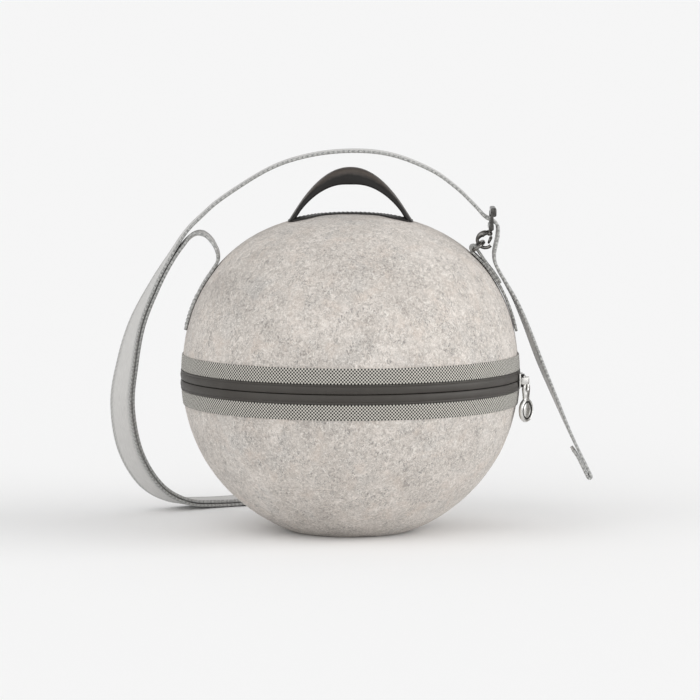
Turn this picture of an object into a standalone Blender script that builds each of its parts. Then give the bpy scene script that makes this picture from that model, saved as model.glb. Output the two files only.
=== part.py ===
"""Ball-shaped felt carrying case: two moulded halves, a zip, a leather grip and a shoulder strap.

Metres, +Z up. The origin is the centre of the flat base. The shoulder strap is
sewn to the lid on the -X side and is hooked to it on the +X side. The lid
hinges at the rear, on +Y.
"""

import math

import bmesh
import bpy
from mathutils import Matrix, Vector

MM = 0.001

# Ball
BALL_RADIUS = 119.6 * MM
SEAM_HEIGHT = 108.8 * MM
LID_RISE = 116.9 * MM
LID_POWER = 2.3
BASE_DEPTH = 116.4 * MM
BASE_POWER = 2.0
FELT = 3.0 * MM
SHELL = 3.5 * MM
LINING = 1.5 * MM
GAP = 0.3 * MM
LAYER_GAP = 0.8 * MM
SEGMENTS = 36

# Seam: every height here is measured from the seam, towards the half it is on
SLIT = 0.6 * MM
TAPE_REACH = 6.9 * MM
TAPE_IN = BALL_RADIUS
TAPE_OUT = 120.8 * MM
COIL_IN = 117.5 * MM
COIL_OUT = TAPE_IN - GAP
COIL_REACH = 2.4 * MM
FELT_START = 7.3 * MM
SHELL_START = 4.4 * MM
LINING_START = 1.0 * MM
BAND_START = 7.1 * MM
BAND_END = 17.9 * MM
BAND = 1.0 * MM

# Zip: angles about the vertical, from the front, positive towards +X
ZIP_HALF_ARC = 150.0
STOP_ARC = 1.6
SLIDER_AT = 81.0
SLIDER_LENGTH = 11.0 * MM
SLIDER_HEIGHT = 6.4 * MM
SLIDER_PLATE = 1.5 * MM
SLIDER_GAP_OUT = 0.4 * MM
SLIDER_GAP_IN = 0.9 * MM
SLIDER_POST = 0.6 * MM
PULL_PIVOT_RADIUS = 125.8 * MM
PULL_PIN = 0.9 * MM
PULL_DISC = 17.0 * MM
PULL_LENGTH = 30.0 * MM
PULL_THICKNESS = 2.0 * MM

# Handle
HANDLE_FOOT_X = 44.2 * MM
HANDLE_FOOT_Z = 219.9 * MM
HANDLE_TOP = 259.0 * MM
HANDLE_DEPTH = 12.2 * MM
HANDLE_FOOT = 3.0 * MM
HANDLE_WALL = 2.2 * MM
HANDLE_WIDTH = 28.0 * MM
PATCH_LENGTH = 88.0 * MM
PATCH_WIDTH = 32.0 * MM
PATCH = 0.8 * MM

# Webbing
WEB_WIDTH = 25.0 * MM
STRAP = 2.2 * MM
TAB_LAYER = 1.3 * MM
TAB_HEIGHTS = (34.0 * MM, 45.0 * MM, 56.0 * MM, 66.0 * MM, 76.0 * MM, 83.0 * MM)
TAB_BACK_HEIGHTS = (80.0 * MM, 74.0 * MM, 67.0 * MM)
STRAP_END_LENGTH = 22.0 * MM
LAYER_PITCH = 3.3 * MM

# Hardware on the right side, which lies in the plane y = 0 and is given as (x, z)
RING_BAR_HEIGHT = 89.5 * MM
RING_TOP = (94.4 * MM, 205.8 * MM)
RING_WIRE = 1.2 * MM
RING_INNER_WIDTH = 26.5 * MM
SWIVEL_AXIS_X = 99.0 * MM
BOW_CENTRE = (95.7 * MM, 207.2 * MM)
BOW_RADIUS = 5.6 * MM
BOW_WIRE = 1.2 * MM
GATE_WIRE = 0.7 * MM
EYE_TOP = 230.5 * MM
EYE_BOTTOM = 214.6 * MM
EYE_X = 99.6 * MM
EYE_TOP_OFFSET = 1.6 * MM
EYE_SIDE_OFFSET = 0.4 * MM
EYE_WIDTH = WEB_WIDTH + 6.4 * MM
EYE_TOP_BAR = (4.0 * MM, EYE_WIDTH, 6.2 * MM)
EYE_LOW_BAR = (3.4 * MM, EYE_WIDTH, 4.4 * MM)
EYE_SIDE = (1.8 * MM, 2.4 * MM)

FELT_COLOUR = (0.56, 0.54, 0.51)
SHELL_COLOUR = (0.05, 0.05, 0.055)
LINING_COLOUR = (0.16, 0.16, 0.165)
BAND_COLOUR = (0.22, 0.22, 0.21)
TAPE_COLOUR = (0.06, 0.055, 0.052)
LEATHER_COLOUR = (0.045, 0.038, 0.034)
WEB_COLOUR = (0.45, 0.45, 0.44)
METAL_COLOUR = (0.32, 0.31, 0.3)
NICKEL_COLOUR = (0.62, 0.61, 0.59)


def clear_scene():
    for item in list(bpy.data.objects):
        bpy.data.objects.remove(item, do_unlink=True)


def material(name, colour, roughness, metallic=0.0):
    found = bpy.data.materials.get(name)
    if found:
        return found
    made = bpy.data.materials.new(name)
    made.use_nodes = True
    shader = made.node_tree.nodes["Principled BSDF"]
    shader.inputs["Base Color"].default_value = (*colour, 1.0)
    shader.inputs["Roughness"].default_value = roughness
    shader.inputs["Metallic"].default_value = metallic
    return made


def felt():
    return material("felt", FELT_COLOUR, 0.95)


def moulding():
    return material("shell", SHELL_COLOUR, 0.6)


def lining():
    return material("lining", LINING_COLOUR, 0.9)


def band_weave():
    return material("band_weave", BAND_COLOUR, 0.8)


def coated_tape():
    return material("coated_tape", TAPE_COLOUR, 0.45)


def leather():
    return material("leather", LEATHER_COLOUR, 0.5)


def webbing():
    return material("webbing", WEB_COLOUR, 0.6)


def dark_metal():
    return material("dark_metal", METAL_COLOUR, 0.3, 1.0)


def nickel():
    return material("nickel", NICKEL_COLOUR, 0.2, 1.0)


def add_object(name, mesh, finish, parent=None):
    """Link a mesh as a smooth-shaded object, under an empty if one is given."""
    mesh.materials.append(finish)
    mesh.shade_smooth()
    mesh.set_sharp_from_angle(angle=math.radians(35))
    item = bpy.data.objects.new(name, mesh)
    bpy.context.scene.collection.objects.link(item)
    if parent:
        item.parent = parent
        item.matrix_parent_inverse = Matrix.Translation(-parent.location)
    return item


def finish_mesh(name, bm):
    bmesh.ops.remove_doubles(bm, verts=bm.verts, dist=1e-6)
    bmesh.ops.recalc_face_normals(bm, faces=bm.faces)
    mesh = bpy.data.meshes.new(name)
    bm.to_mesh(mesh)
    bm.free()
    return mesh


def add_pivot(name, location):
    pivot = bpy.data.objects.new(name, None)
    pivot.location = location
    bpy.context.scene.collection.objects.link(pivot)
    return pivot


def direction(angle):
    """Level unit vector at an angle in degrees from the front, positive towards +X."""
    turn = math.radians(angle)
    return Vector((math.sin(turn), -math.cos(turn), 0.0))


def turned(name, profile, finish, parent=None, middle=None, half_arc=None):
    """Turn a closed (radius, z) outline about the vertical, all round or over an arc."""
    bm = bmesh.new()
    whole = half_arc is None
    first = direction(0.0 if whole else middle - half_arc)
    verts = [bm.verts.new(first * r + Vector((0.0, 0.0, z))) for r, z in profile]
    edges = [bm.edges.new((verts[i - 1], verts[i])) for i in range(len(verts))]
    sweep = 360.0 if whole else 2.0 * half_arc
    steps = max(2, round(SEGMENTS * sweep / 360.0))
    if not whole:
        bm.faces.new(verts)
    spun = bmesh.ops.spin(
        bm,
        geom=verts + edges,
        cent=(0.0, 0.0, 0.0),
        axis=(0.0, 0.0, 1.0),
        angle=math.radians(sweep),
        steps=steps,
        use_merge=whole,
    )
    if not whole:
        bm.faces.new([v for v in spun["geom_last"] if isinstance(v, bmesh.types.BMVert)])
    bmesh.ops.dissolve_degenerate(bm, dist=1e-7, edges=bm.edges)
    return add_object(name, finish_mesh(name, bm), finish, parent)


def dome_radius(height, rise, power, inset):
    """Radius of a half's surface, inset from the outer skin, at a height from the seam."""
    radius = BALL_RADIUS - inset
    share = min(1.0, height / (rise - inset))
    return radius * (1.0 - share**power) ** (1.0 / power)


def dome_curve(start, stop, rise, power, inset, count):
    """(radius, height) points from one height to another, evenly spread in slope."""
    low = math.asin(start / (rise - inset))
    high = math.asin(min(1.0, stop / (rise - inset)))
    points = []
    for i in range(count):
        height = (rise - inset) * math.sin(low + (high - low) * i / (count - 1))
        points.append((dome_radius(height, rise, power, inset), height))
    return points


def add_half(side):
    """The turned pieces of one half: +1 is the lid and -1 is the base."""
    name = "lid" if side > 0 else "base"
    rise = LID_RISE if side > 0 else BASE_DEPTH
    power = LID_POWER if side > 0 else BASE_POWER
    floor = rise if side > 0 else SEAM_HEIGHT

    def place(points):
        return [(r, SEAM_HEIGHT + side * h) for r, h in points]

    def bowl(part, start, outset, thickness, finish, count, lip=None):
        outer_stop = floor - outset if side < 0 else rise - outset
        inner_stop = outer_stop - thickness
        outer = dome_curve(start, outer_stop, rise, power, outset, count)
        inner = dome_curve(start, inner_stop, rise, power, outset + thickness, count)
        if outer[-1][0] > GAP:
            outer.append((0.0, outer_stop))
            inner.append((0.0, inner_stop))
        outline = outer + inner[::-1]
        if lip:
            outline = lip + outline[1:]
        turned(f"{name}_{part}", place(outline), finish)

    bowl("felt", FELT_START, 0.0, FELT, felt(), 9)
    shell_inset = FELT + LAYER_GAP
    shell_radius = dome_radius(FELT_START - GAP, rise, power, shell_inset)
    shell_lip = [
        (COIL_OUT, SHELL_START),
        (COIL_OUT, FELT_START - GAP),
        (shell_radius, FELT_START - GAP),
    ]
    bowl("shell", SHELL_START, shell_inset, SHELL, moulding(), 9, shell_lip)
    bowl("lining", LINING_START, shell_inset + SHELL + LAYER_GAP, LINING, lining(), 8)

    band_in = dome_curve(BAND_START, BAND_END, rise, power, -GAP, 3)
    band_out = dome_curve(BAND_START, BAND_END, rise, power, -GAP - BAND, 3)
    turned(f"{name}_band", place(band_in + band_out[::-1]), band_weave())

    tape = [(TAPE_IN, SLIT), (TAPE_OUT, SLIT), (TAPE_OUT, TAPE_REACH), (TAPE_IN, TAPE_REACH)]
    turned(f"{name}_zip_tape", place(tape), coated_tape(), None, 0.0, ZIP_HALF_ARC)
    coil = [(COIL_IN, SLIT), (COIL_OUT, SLIT), (COIL_OUT, COIL_REACH), (COIL_IN, COIL_REACH)]
    turned(f"{name}_zip_coil", place(coil), coated_tape(), None, 0.0, ZIP_HALF_ARC)


def add_rear_hinge():
    """Fabric that joins the two halves behind, between the ends of the zip."""
    outline = [
        (TAPE_IN, SEAM_HEIGHT - TAPE_REACH),
        (TAPE_OUT, SEAM_HEIGHT - TAPE_REACH),
        (TAPE_OUT, SEAM_HEIGHT + TAPE_REACH),
        (TAPE_IN, SEAM_HEIGHT + TAPE_REACH),
    ]
    half_arc = 180.0 - ZIP_HALF_ARC - 0.4
    turned("rear_hinge_fabric", outline, coated_tape(), None, 180.0, half_arc)


def add_zip_stops():
    """A metal stop on the base's coil at each end of the zip, behind the tapes."""
    for side, name in ((-1, "zip_stop_left"), (1, "zip_stop_right")):
        outside = COIL_IN - LAYER_GAP
        inside = outside - 1.2 * MM
        outline = [
            (outside, SEAM_HEIGHT - COIL_REACH),
            (inside, SEAM_HEIGHT - COIL_REACH),
            (inside, SEAM_HEIGHT - SLIT),
            (outside, SEAM_HEIGHT - SLIT),
        ]
        middle = side * (ZIP_HALF_ARC - STOP_ARC)
        turned(name, outline, nickel(), None, middle, STOP_ARC)


def box(bm, centre, size, turn=None):
    matrix = Matrix.Translation(centre) @ (turn or Matrix.Identity(4))
    matrix = matrix @ Matrix.Diagonal((*size, 1.0))
    return bmesh.ops.create_cube(bm, size=1.0, matrix=matrix)["verts"]


def join(name, pieces, finish, parent=None):
    """One closed body from several overlapping ones, by Boolean unions."""
    body = add_object(name, pieces[0], finish, parent)
    for i, mesh in enumerate(pieces[1:]):
        tool = bpy.data.objects.new(f"{name}_tool_{i}", mesh)
        bpy.context.scene.collection.objects.link(tool)
        tool.hide_render = True
        tool.display_type = "WIRE"
        union = body.modifiers.new(f"union_{i}", "BOOLEAN")
        union.operation = "UNION"
        union.solver = "EXACT"
        union.object = tool
        if parent:
            tool.parent = parent
            tool.matrix_parent_inverse = Matrix.Translation(-parent.location)
    return body


def box_mesh(name, centre, size, turn=None):
    bm = bmesh.new()
    box(bm, centre, size, turn)
    return finish_mesh(name, bm)


def rod_mesh(name, start, end, radius, sides=10):
    """A plain round rod between two points."""
    start, end = Vector(start), Vector(end)
    bm = bmesh.new()
    along = (end - start).to_track_quat("Z", "Y").to_matrix().to_4x4()
    bmesh.ops.create_cone(
        bm,
        cap_ends=True,
        segments=sides,
        radius1=radius,
        radius2=radius,
        depth=(end - start).length,
        matrix=Matrix.Translation((start + end) / 2) @ along,
    )
    return finish_mesh(name, bm)


def tube(name, points, radius, finish, parent=None, cyclic=False, resolution=2):
    """A round wire along a list of points."""
    curve = bpy.data.curves.new(name, "CURVE")
    curve.dimensions = "3D"
    curve.bevel_depth = radius
    curve.bevel_resolution = resolution
    curve.use_fill_caps = not cyclic
    spline = curve.splines.new("POLY")
    spline.points.add(len(points) - 1)
    for target, point in zip(spline.points, points):
        target.co = (*point, 1.0)
    spline.use_cyclic_u = cyclic
    curve.materials.append(finish)
    item = bpy.data.objects.new(name, curve)
    bpy.context.scene.collection.objects.link(item)
    if parent:
        item.parent = parent
        item.matrix_parent_inverse = Matrix.Translation(-parent.location)
    return item


def add_zip_slider():
    """H-shaped slider: an outer plate, a thin post through the slit, and an inner plate."""
    pivot = add_pivot("zip_slider_pivot", (0.0, 0.0, SEAM_HEIGHT))
    out = direction(SLIDER_AT)
    turn = Matrix.Rotation(math.radians(SLIDER_AT), 4, "Z")
    outer = TAPE_OUT + SLIDER_GAP_OUT + SLIDER_PLATE / 2
    inner = COIL_IN - SLIDER_GAP_IN - SLIDER_PLATE / 2
    up = Vector((0.0, 0.0, SEAM_HEIGHT))
    plate = (SLIDER_LENGTH, SLIDER_PLATE, SLIDER_HEIGHT)
    post = (SLIDER_LENGTH * 0.4, outer - inner, SLIDER_POST)
    lug = (2.0 * MM, PULL_PIVOT_RADIUS + 1.6 * MM - outer, 3.6 * MM)
    pieces = [box_mesh("slider_outer", out * outer + up, plate, turn)]
    pieces.append(box_mesh("slider_post", out * (outer + inner) / 2 + up, post, turn))
    pieces.append(box_mesh("slider_inner", out * inner + up, plate, turn))
    along = direction(SLIDER_AT + 90.0)
    middle = (PULL_PIVOT_RADIUS + 1.6 * MM + outer) / 2
    for side in (-1, 1):
        centre = out * middle + up + along * side * 4.0 * MM
        pieces.append(box_mesh("slider_lug", centre, lug, turn))
    pin_centre = out * PULL_PIVOT_RADIUS + up
    ends = [pin_centre + along * side * 4.2 * MM for side in (-1, 1)]
    pieces.append(rod_mesh("slider_pin", ends[0], ends[1], PULL_PIN))
    join("zip_slider", pieces, nickel(), pivot)
    return pivot


def add_zip_pull(slider):
    """Pull that hangs on the slider's pin: an eyelet, a stem and a round disc."""
    out = direction(SLIDER_AT)
    along = direction(SLIDER_AT + 90.0)
    pin_centre = out * PULL_PIVOT_RADIUS + Vector((0.0, 0.0, SEAM_HEIGHT))
    pivot = add_pivot("zip_pull_pivot", pin_centre)
    pivot.parent = slider
    pivot.matrix_parent_inverse = Matrix.Translation(-slider.location)
    bore = PULL_PIN + 0.4 * MM
    eyelet = bore + 1.0 * MM
    bm = bmesh.new()
    sides = 12
    loops = []
    for side in (-1, 1):
        for radius in (eyelet, bore):
            ring = []
            for i in range(sides):
                angle = 2 * math.pi * i / sides
                spot = out * math.cos(angle) * radius + Vector((0, 0, 1)) * math.sin(angle) * radius
                ring.append(bm.verts.new(pin_centre + along * side * 2.4 * MM + spot))
            loops.append(ring)
    for a, b in ((0, 1), (1, 3), (3, 2), (2, 0)):
        for i in range(sides):
            j = (i + 1) % sides
            bm.faces.new((loops[a][i], loops[a][j], loops[b][j], loops[b][i]))
    pieces = [finish_mesh("pull_eyelet", bm)]
    turn = Matrix.Rotation(math.radians(SLIDER_AT), 4, "Z")
    disc_drop = PULL_LENGTH - eyelet - PULL_DISC / 2
    stem_top = -(bore + 0.4 * MM)
    stem_bottom = -(disc_drop - PULL_DISC * 0.3)
    stem_centre = pin_centre + Vector((0.0, 0.0, (stem_top + stem_bottom) / 2))
    stem_size = (5.0 * MM, PULL_THICKNESS, stem_top - stem_bottom)
    pieces.append(box_mesh("pull_stem", stem_centre, stem_size, turn))
    disc_centre = pin_centre - Vector((0.0, 0.0, disc_drop))
    half = out * PULL_THICKNESS / 2
    pieces.append(rod_mesh("pull_disc", disc_centre - half, disc_centre + half, PULL_DISC / 2, 24))
    join("zip_pull", pieces, nickel(), pivot)


def lid_point(height, proud, side=1):
    """Point on the lid's middle section (y = 0), proud of the felt, and its outward normal."""
    radius = dome_radius(height, LID_RISE, LID_POWER, 0.0)
    slope_r = (radius / BALL_RADIUS) ** (LID_POWER - 1.0) / BALL_RADIUS
    slope_z = (height / LID_RISE) ** (LID_POWER - 1.0) / LID_RISE
    normal = Vector((side * slope_r, 0.0, slope_z)).normalized()
    return Vector((side * radius, 0.0, SEAM_HEIGHT + height)) + normal * proud, normal


def smooth_route(points, step):
    """A smooth curve through (x, y, z, turn) points, cut into steps no longer than this."""
    route = []
    last = len(points) - 1
    for i in range(last):
        p0, p1 = points[max(i - 1, 0)], points[i]
        p2, p3 = points[i + 1], points[min(i + 2, last)]
        count = math.ceil((Vector(p2[:3]) - Vector(p1[:3])).length / step)
        for k in range(count):
            t = k / count
            row = []
            for a, b, c, d in zip(p0, p1, p2, p3):
                bend = (2 * a - 5 * b + 4 * c - d) * t * t + (3 * b - a - 3 * c + d) * t**3
                row.append(0.5 * (2 * b + (c - a) * t + bend))
            route.append(row)
    route.append(list(points[-1]))
    return route


def ribbon_frames(route):
    """(centre, width direction, thickness direction) at each (x, y, z, turn) point."""
    frames = []
    for i, row in enumerate(route):
        ahead = Vector(route[min(i + 1, len(route) - 1)][:3])
        behind = Vector(route[max(i - 1, 0)][:3])
        along = (ahead - behind).normalized()
        turn = math.radians(row[3])
        across = Vector((-math.sin(turn), math.cos(turn), 0.0))
        across = (across - along * across.dot(along)).normalized()
        frames.append((Vector(row[:3]), across, along.cross(across)))
    return frames


def ribbon_mesh(name, frames, width, thickness):
    bm = bmesh.new()
    rings = []
    for centre, across, out in frames:
        corners = ((-1, -1), (1, -1), (1, 1), (-1, 1))
        side = across * width / 2
        face = out * thickness / 2
        rings.append([bm.verts.new(centre + side * a + face * b) for a, b in corners])
    for first, second in zip(rings, rings[1:]):
        for i in range(4):
            j = (i + 1) % 4
            bm.faces.new((first[i], first[j], second[j], second[i]))
    bm.faces.new(rings[0])
    bm.faces.new(rings[-1])
    return finish_mesh(name, bm)


# The strap's route in millimetres: x, y, z, then how far its width is turned from +Y
STRAP_RISE = [
    (-94.2, 0.5, 193.0, 0.0),
    (-95.6, 2.0, 201.0, 1.0),
    (-101.4, 5.5, 208.3, 4.0),
    (-109.0, 9.5, 210.6, 7.0),
    (-116.4, 13.0, 206.2, 9.0),
]
STRAP_FALL = [
    (-128.6, 17.0, 195.0, 12.0),
    (-141.2, 25.0, 173.5, 18.0),
    (-154.4, 36.0, 145.0, 25.0),
    (-162.5, 48.0, 114.0, 32.0),
    (-166.8, 61.0, 82.0, 37.0),
    (-162.0, 77.0, 47.0, 42.0),
    (-147.5, 93.0, 19.5, 43.0),
    (-127.5, 110.0, 5.5, 40.0),
    (-104.0, 127.0, 2.0, 31.0),
    (-77.0, 140.0, 1.9, 20.0),
]
STRAP_BIGHT = [
    (-50.0, 147.5, 1.9, 12.0),
    (-30.0, 151.0, 2.4, 8.0),
    (-17.0, 152.6, 6.0, 6.0),
    (-12.5, 153.0, 10.5, 6.0),
    (-18.0, 152.5, 14.4, 6.0),
    (-32.0, 150.8, 9.0, 8.0),
    (-50.0, 147.5, 5.6, 12.0),
]
STRAP_ARCH = [
    (-118.0, 13.0, 211.3, 8.0),
    (-107.0, 9.5, 223.0, 6.0),
    (-90.0, 5.5, 237.5, 3.0),
    (-57.0, 1.5, 258.0, 1.0),
    (-28.0, 0.0, 267.5, 0.0),
    (2.6, 0.0, 270.5, 0.0),
    (30.0, 0.0, 267.5, 0.0),
    (57.0, 0.0, 257.0, 0.0),
    (75.0, 0.0, 244.5, 0.0),
    (88.0, 0.0, 232.0, 0.0),
    (95.0, 0.0, 224.4, 0.0),
    (100.4, 0.0, 221.4, 0.0),
    (104.3, 0.0, 217.6, 0.0),
    (104.4, 0.0, 210.5, 0.0),
    (103.2, 0.0, 204.5, 0.0),
]
STRAP_TAIL = [
    (102.0, 0.0, 198.0, 0.0),
    (102.6, 0.0, 191.5, 0.0),
    (105.8, 0.0, 184.5, 1.0),
    (110.2, 0.0, 177.0, 2.0),
    (117.4, 0.0, 164.0, 4.0),
    (124.8, 0.0, 147.0, 6.0),
    (135.2, 0.0, 120.0, 7.0),
    (147.0, 0.0, 92.0, 4.0),
    (157.4, 0.0, 68.0, 0.5),
    (171.0, 0.0, 40.0, 0.0),
]
STRAP_STEP = 12.0 * MM
SEWN_HEIGHTS = (32.0 * MM, 42.0 * MM, 52.0 * MM, 61.0 * MM, 69.0 * MM, 76.0 * MM)


def metres(rows):
    return [(x * MM, y * MM, z * MM, turn) for x, y, z, turn in rows]


def strap_route():
    """The strap from its sewn end, over the top, down, back up, over the ball and to its tail."""
    sewn = [(*lid_point(height, 2 * GAP + STRAP / 2, -1)[0], 0.0) for height in SEWN_HEIGHTS]
    fall = metres(STRAP_FALL)
    inner = []
    for row, (centre, across, out) in zip(fall, ribbon_frames(fall)):
        inner.append((*(centre + out * LAYER_PITCH), row[3]))
    floor = inner + metres(STRAP_BIGHT)[::-1] + fall[::-1]
    return sewn + metres(STRAP_RISE) + floor + metres(STRAP_ARCH) + metres(STRAP_TAIL)


def add_shoulder_strap():
    route = smooth_route(strap_route(), STRAP_STEP)
    frames = ribbon_frames(route)
    add_object("shoulder_strap", ribbon_mesh("shoulder_strap", frames, WEB_WIDTH, STRAP), webbing())
    fold = metres(STRAP_TAIL[-2:])
    start, end = Vector(fold[0][:3]), Vector(fold[1][:3])
    along = (end - start).normalized()
    across = Vector((0.0, 1.0, 0.0))
    out = across.cross(along)
    centre = end + out * (STRAP + 2 * GAP)
    ends = [(centre - along * STRAP_END_LENGTH, across, out), (centre, across, out)]
    add_object("strap_end", ribbon_mesh("strap_end", ends, WEB_WIDTH, STRAP), webbing())


def ring_bar():
    """Middle of the ring's straight bar, inside the tab's fold."""
    return lid_point(RING_BAR_HEIGHT, 2 * GAP + TAB_LAYER + GAP + RING_WIRE)[0]


def add_right_tab():
    """Webbing sewn to the lid, folded round the ring's bar and back onto itself."""
    proud = 2 * GAP + TAB_LAYER / 2
    rows = [(*lid_point(height, proud)[0], 0.0) for height in TAB_HEIGHTS]
    loop_radius = RING_WIRE + GAP + TAB_LAYER / 2
    bar = ring_bar()
    for angle in range(231, -1, -42):
        turn = math.radians(angle)
        spot = Vector((math.cos(turn), 0.0, math.sin(turn))) * loop_radius
        rows.append((*(bar + spot), 0.0))
    back = proud + TAB_LAYER + GAP
    for height in TAB_BACK_HEIGHTS:
        rows.append((*lid_point(height, back)[0], 0.0))
    frames = ribbon_frames(rows)
    add_object("right_tab", ribbon_mesh("right_tab", frames, WEB_WIDTH, TAB_LAYER), webbing())


def add_d_ring():
    """Ring whose straight bar lies in the tab's fold, and whose far side is in the hook."""
    bar = ring_bar()
    top = Vector((RING_TOP[0], 0.0, RING_TOP[1]))
    pivot = add_pivot("d_ring_pivot", bar)
    rise = top - bar
    half = RING_INNER_WIDTH / 2 + RING_WIRE
    points = []
    outline = ((-1.0, 0.0), (1.0, 0.0), (1.0, 0.35), (0.86, 0.72), (0.55, 0.94), (0.0, 1.0))
    outline += ((-0.55, 0.94), (-0.86, 0.72), (-1.0, 0.35))
    for across, up in outline:
        points.append(bar + Vector((0.0, across * half, 0.0)) + rise * up)
    tube("d_ring", points, RING_WIRE, dark_metal(), pivot, True)


def bow_point(angle):
    turn = math.radians(angle)
    x = BOW_CENTRE[0] + BOW_RADIUS * math.cos(turn)
    z = BOW_CENTRE[1] + BOW_RADIUS * math.sin(turn)
    return Vector((x, 0.0, z))


def add_snap_hook():
    """Hook with a round bow on a swivel stem, and its sprung gate."""
    pivot = add_pivot("snap_hook_pivot", (SWIVEL_AXIS_X, 0.0, BOW_CENTRE[1]))
    bm = bmesh.new()
    angles = range(48, 319, 27)
    rings = []
    for angle in angles:
        centre = bow_point(angle)
        out = (centre - Vector((BOW_CENTRE[0], 0.0, BOW_CENTRE[1]))).normalized()
        ring = []
        for i in range(8):
            turn = 2 * math.pi * i / 8
            spot = out * math.cos(turn) + Vector((0.0, math.sin(turn), 0.0))
            ring.append(bm.verts.new(centre + spot * BOW_WIRE))
        rings.append(ring)
    for first, second in zip(rings, rings[1:]):
        for i in range(8):
            j = (i + 1) % 8
            bm.faces.new((first[i], first[j], second[j], second[i]))
    bm.faces.new(rings[0])
    bm.faces.new(rings[-1])
    pieces = [finish_mesh("hook_bow", bm)]
    low = (SWIVEL_AXIS_X, 0.0, bow_point(48)[2] - 1.2 * MM)
    high = (SWIVEL_AXIS_X, 0.0, EYE_BOTTOM - GAP)
    pieces.append(rod_mesh("hook_collar", low, high, 1.9 * MM, 12))
    join("snap_hook", pieces, dark_metal(), pivot)

    gate_top = Vector((SWIVEL_AXIS_X + 0.9 * MM, 0.0, low[2] - GATE_WIRE - GAP))
    gate_pivot = add_pivot("hook_gate_pivot", gate_top)
    gate_pivot.parent = pivot
    gate_pivot.matrix_parent_inverse = Matrix.Translation(-pivot.location)
    middle = Vector((BOW_CENTRE[0], 0.0, BOW_CENTRE[1]))
    tip = middle.lerp(bow_point(310), 1.0 - (BOW_WIRE + GATE_WIRE + GAP) / BOW_RADIUS)
    gate = [rod_mesh("gate_bar", gate_top, tip, GATE_WIRE, 8)]
    knuckle = Vector((0.0, 2.2 * MM, 0.0))
    gate.append(rod_mesh("gate_knuckle", gate_top - knuckle, gate_top + knuckle, GATE_WIRE * 1.1, 8))
    join("hook_gate", gate, dark_metal(), gate_pivot)


def add_swivel_eye():
    """Frame that the strap passes through, with the swivel's socket under it."""
    top_z = EYE_TOP - EYE_TOP_BAR[2] / 2
    low_z = EYE_BOTTOM + EYE_LOW_BAR[2] / 2
    top_centre = Vector((EYE_X + EYE_TOP_OFFSET, 0.0, top_z))
    low_centre = Vector((EYE_X, 0.0, low_z))
    pieces = [box_mesh("eye_top", top_centre, EYE_TOP_BAR)]
    pieces.append(box_mesh("eye_low", low_centre, EYE_LOW_BAR))
    for side in (-1, 1):
        y = side * (EYE_WIDTH - EYE_SIDE[1]) / 2
        centre = Vector((EYE_X + EYE_SIDE_OFFSET, y, (top_z + low_z) / 2))
        pieces.append(box_mesh("eye_side", centre, (*EYE_SIDE, top_z - low_z)))
    join("swivel_eye", pieces, dark_metal())


def handle_height(x):
    """Height of the handle's outer face at x, from its middle down to its feet."""
    share = abs(x) / HANDLE_FOOT_X
    return HANDLE_TOP - (HANDLE_TOP - HANDLE_FOOT_Z) * share**2.06


def top_point(x, y, proud):
    """Point over the lid's top, proud of the felt."""
    radius = math.hypot(x, y)
    share = (radius / BALL_RADIUS) ** LID_POWER
    height = LID_RISE * (1.0 - share) ** (1.0 / LID_POWER)
    point, normal = lid_point(height, proud)
    if radius < 0.01 * MM:
        return Vector((x, y, point.z))
    return Vector((x * point.x / radius, y * point.x / radius, point.z))


def drop_to_patch(start, along):
    """Slide a point along a direction until it is just over the patch."""
    low, high = 0.0, 20.0 * MM
    for _ in range(30):
        middle = (low + high) / 2
        spot = start + along * middle
        if spot.z > top_point(spot.x, spot.y, PATCH + 3 * GAP).z:
            low = middle
        else:
            high = middle
    return start + along * low


def handle_section(x):
    """Outline of the grip at x, and the direction in which the grip runs there."""
    fold = (1.0 - min(1.0, abs(x) / HANDLE_FOOT_X) ** 2) ** 2.3
    slope = (handle_height(x + 0.1 * MM) - handle_height(x - 0.1 * MM)) / (0.2 * MM)
    normal = Vector((-slope, 0.0, 1.0)).normalized()
    half = HANDLE_WIDTH / 2 * (1.0 - 0.4 * fold)
    depth = HANDLE_FOOT + (HANDLE_DEPTH - HANDLE_FOOT) * fold
    roof = HANDLE_WALL
    outline = [
        (-half, -depth),
        (-half, -1.0 * MM),
        (-half + 2.4 * MM, 0.0),
        (half - 2.4 * MM, 0.0),
        (half, -1.0 * MM),
        (half, -depth),
        (half - HANDLE_WALL, -depth),
        (half - HANDLE_WALL, -roof),
        (-half + HANDLE_WALL, -roof),
        (-half + HANDLE_WALL, -depth),
    ]
    centre = Vector((x, 0.0, handle_height(x)))
    along = Vector((normal.z, 0.0, -normal.x))
    return [centre + Vector((0.0, y, 0.0)) + normal * d for y, d in outline], along


def add_handle():
    """Leather grip: flat at its feet, with its sides folded down at its middle."""
    bm = bmesh.new()
    reach = HANDLE_FOOT_X * 0.86
    count = 16
    sections = []
    for i in range(count + 1):
        outline, along = handle_section(-reach + 2 * reach * i / count)
        sections.append(outline)
        if i == 0:
            sections.insert(0, [drop_to_patch(point, -along) for point in outline])
        if i == count:
            sections.append([drop_to_patch(point, along) for point in outline])
    rings = [[bm.verts.new(point) for point in outline] for outline in sections]
    for first, second in zip(rings, rings[1:]):
        for i in range(len(first)):
            j = (i + 1) % len(first)
            bm.faces.new((first[i], first[j], second[j], second[i]))
    for ring in (rings[0], rings[-1]):
        bmesh.ops.triangulate(bm, faces=[bm.faces.new(ring)])
    add_object("handle_grip", finish_mesh("handle_grip", bm), leather())


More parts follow.
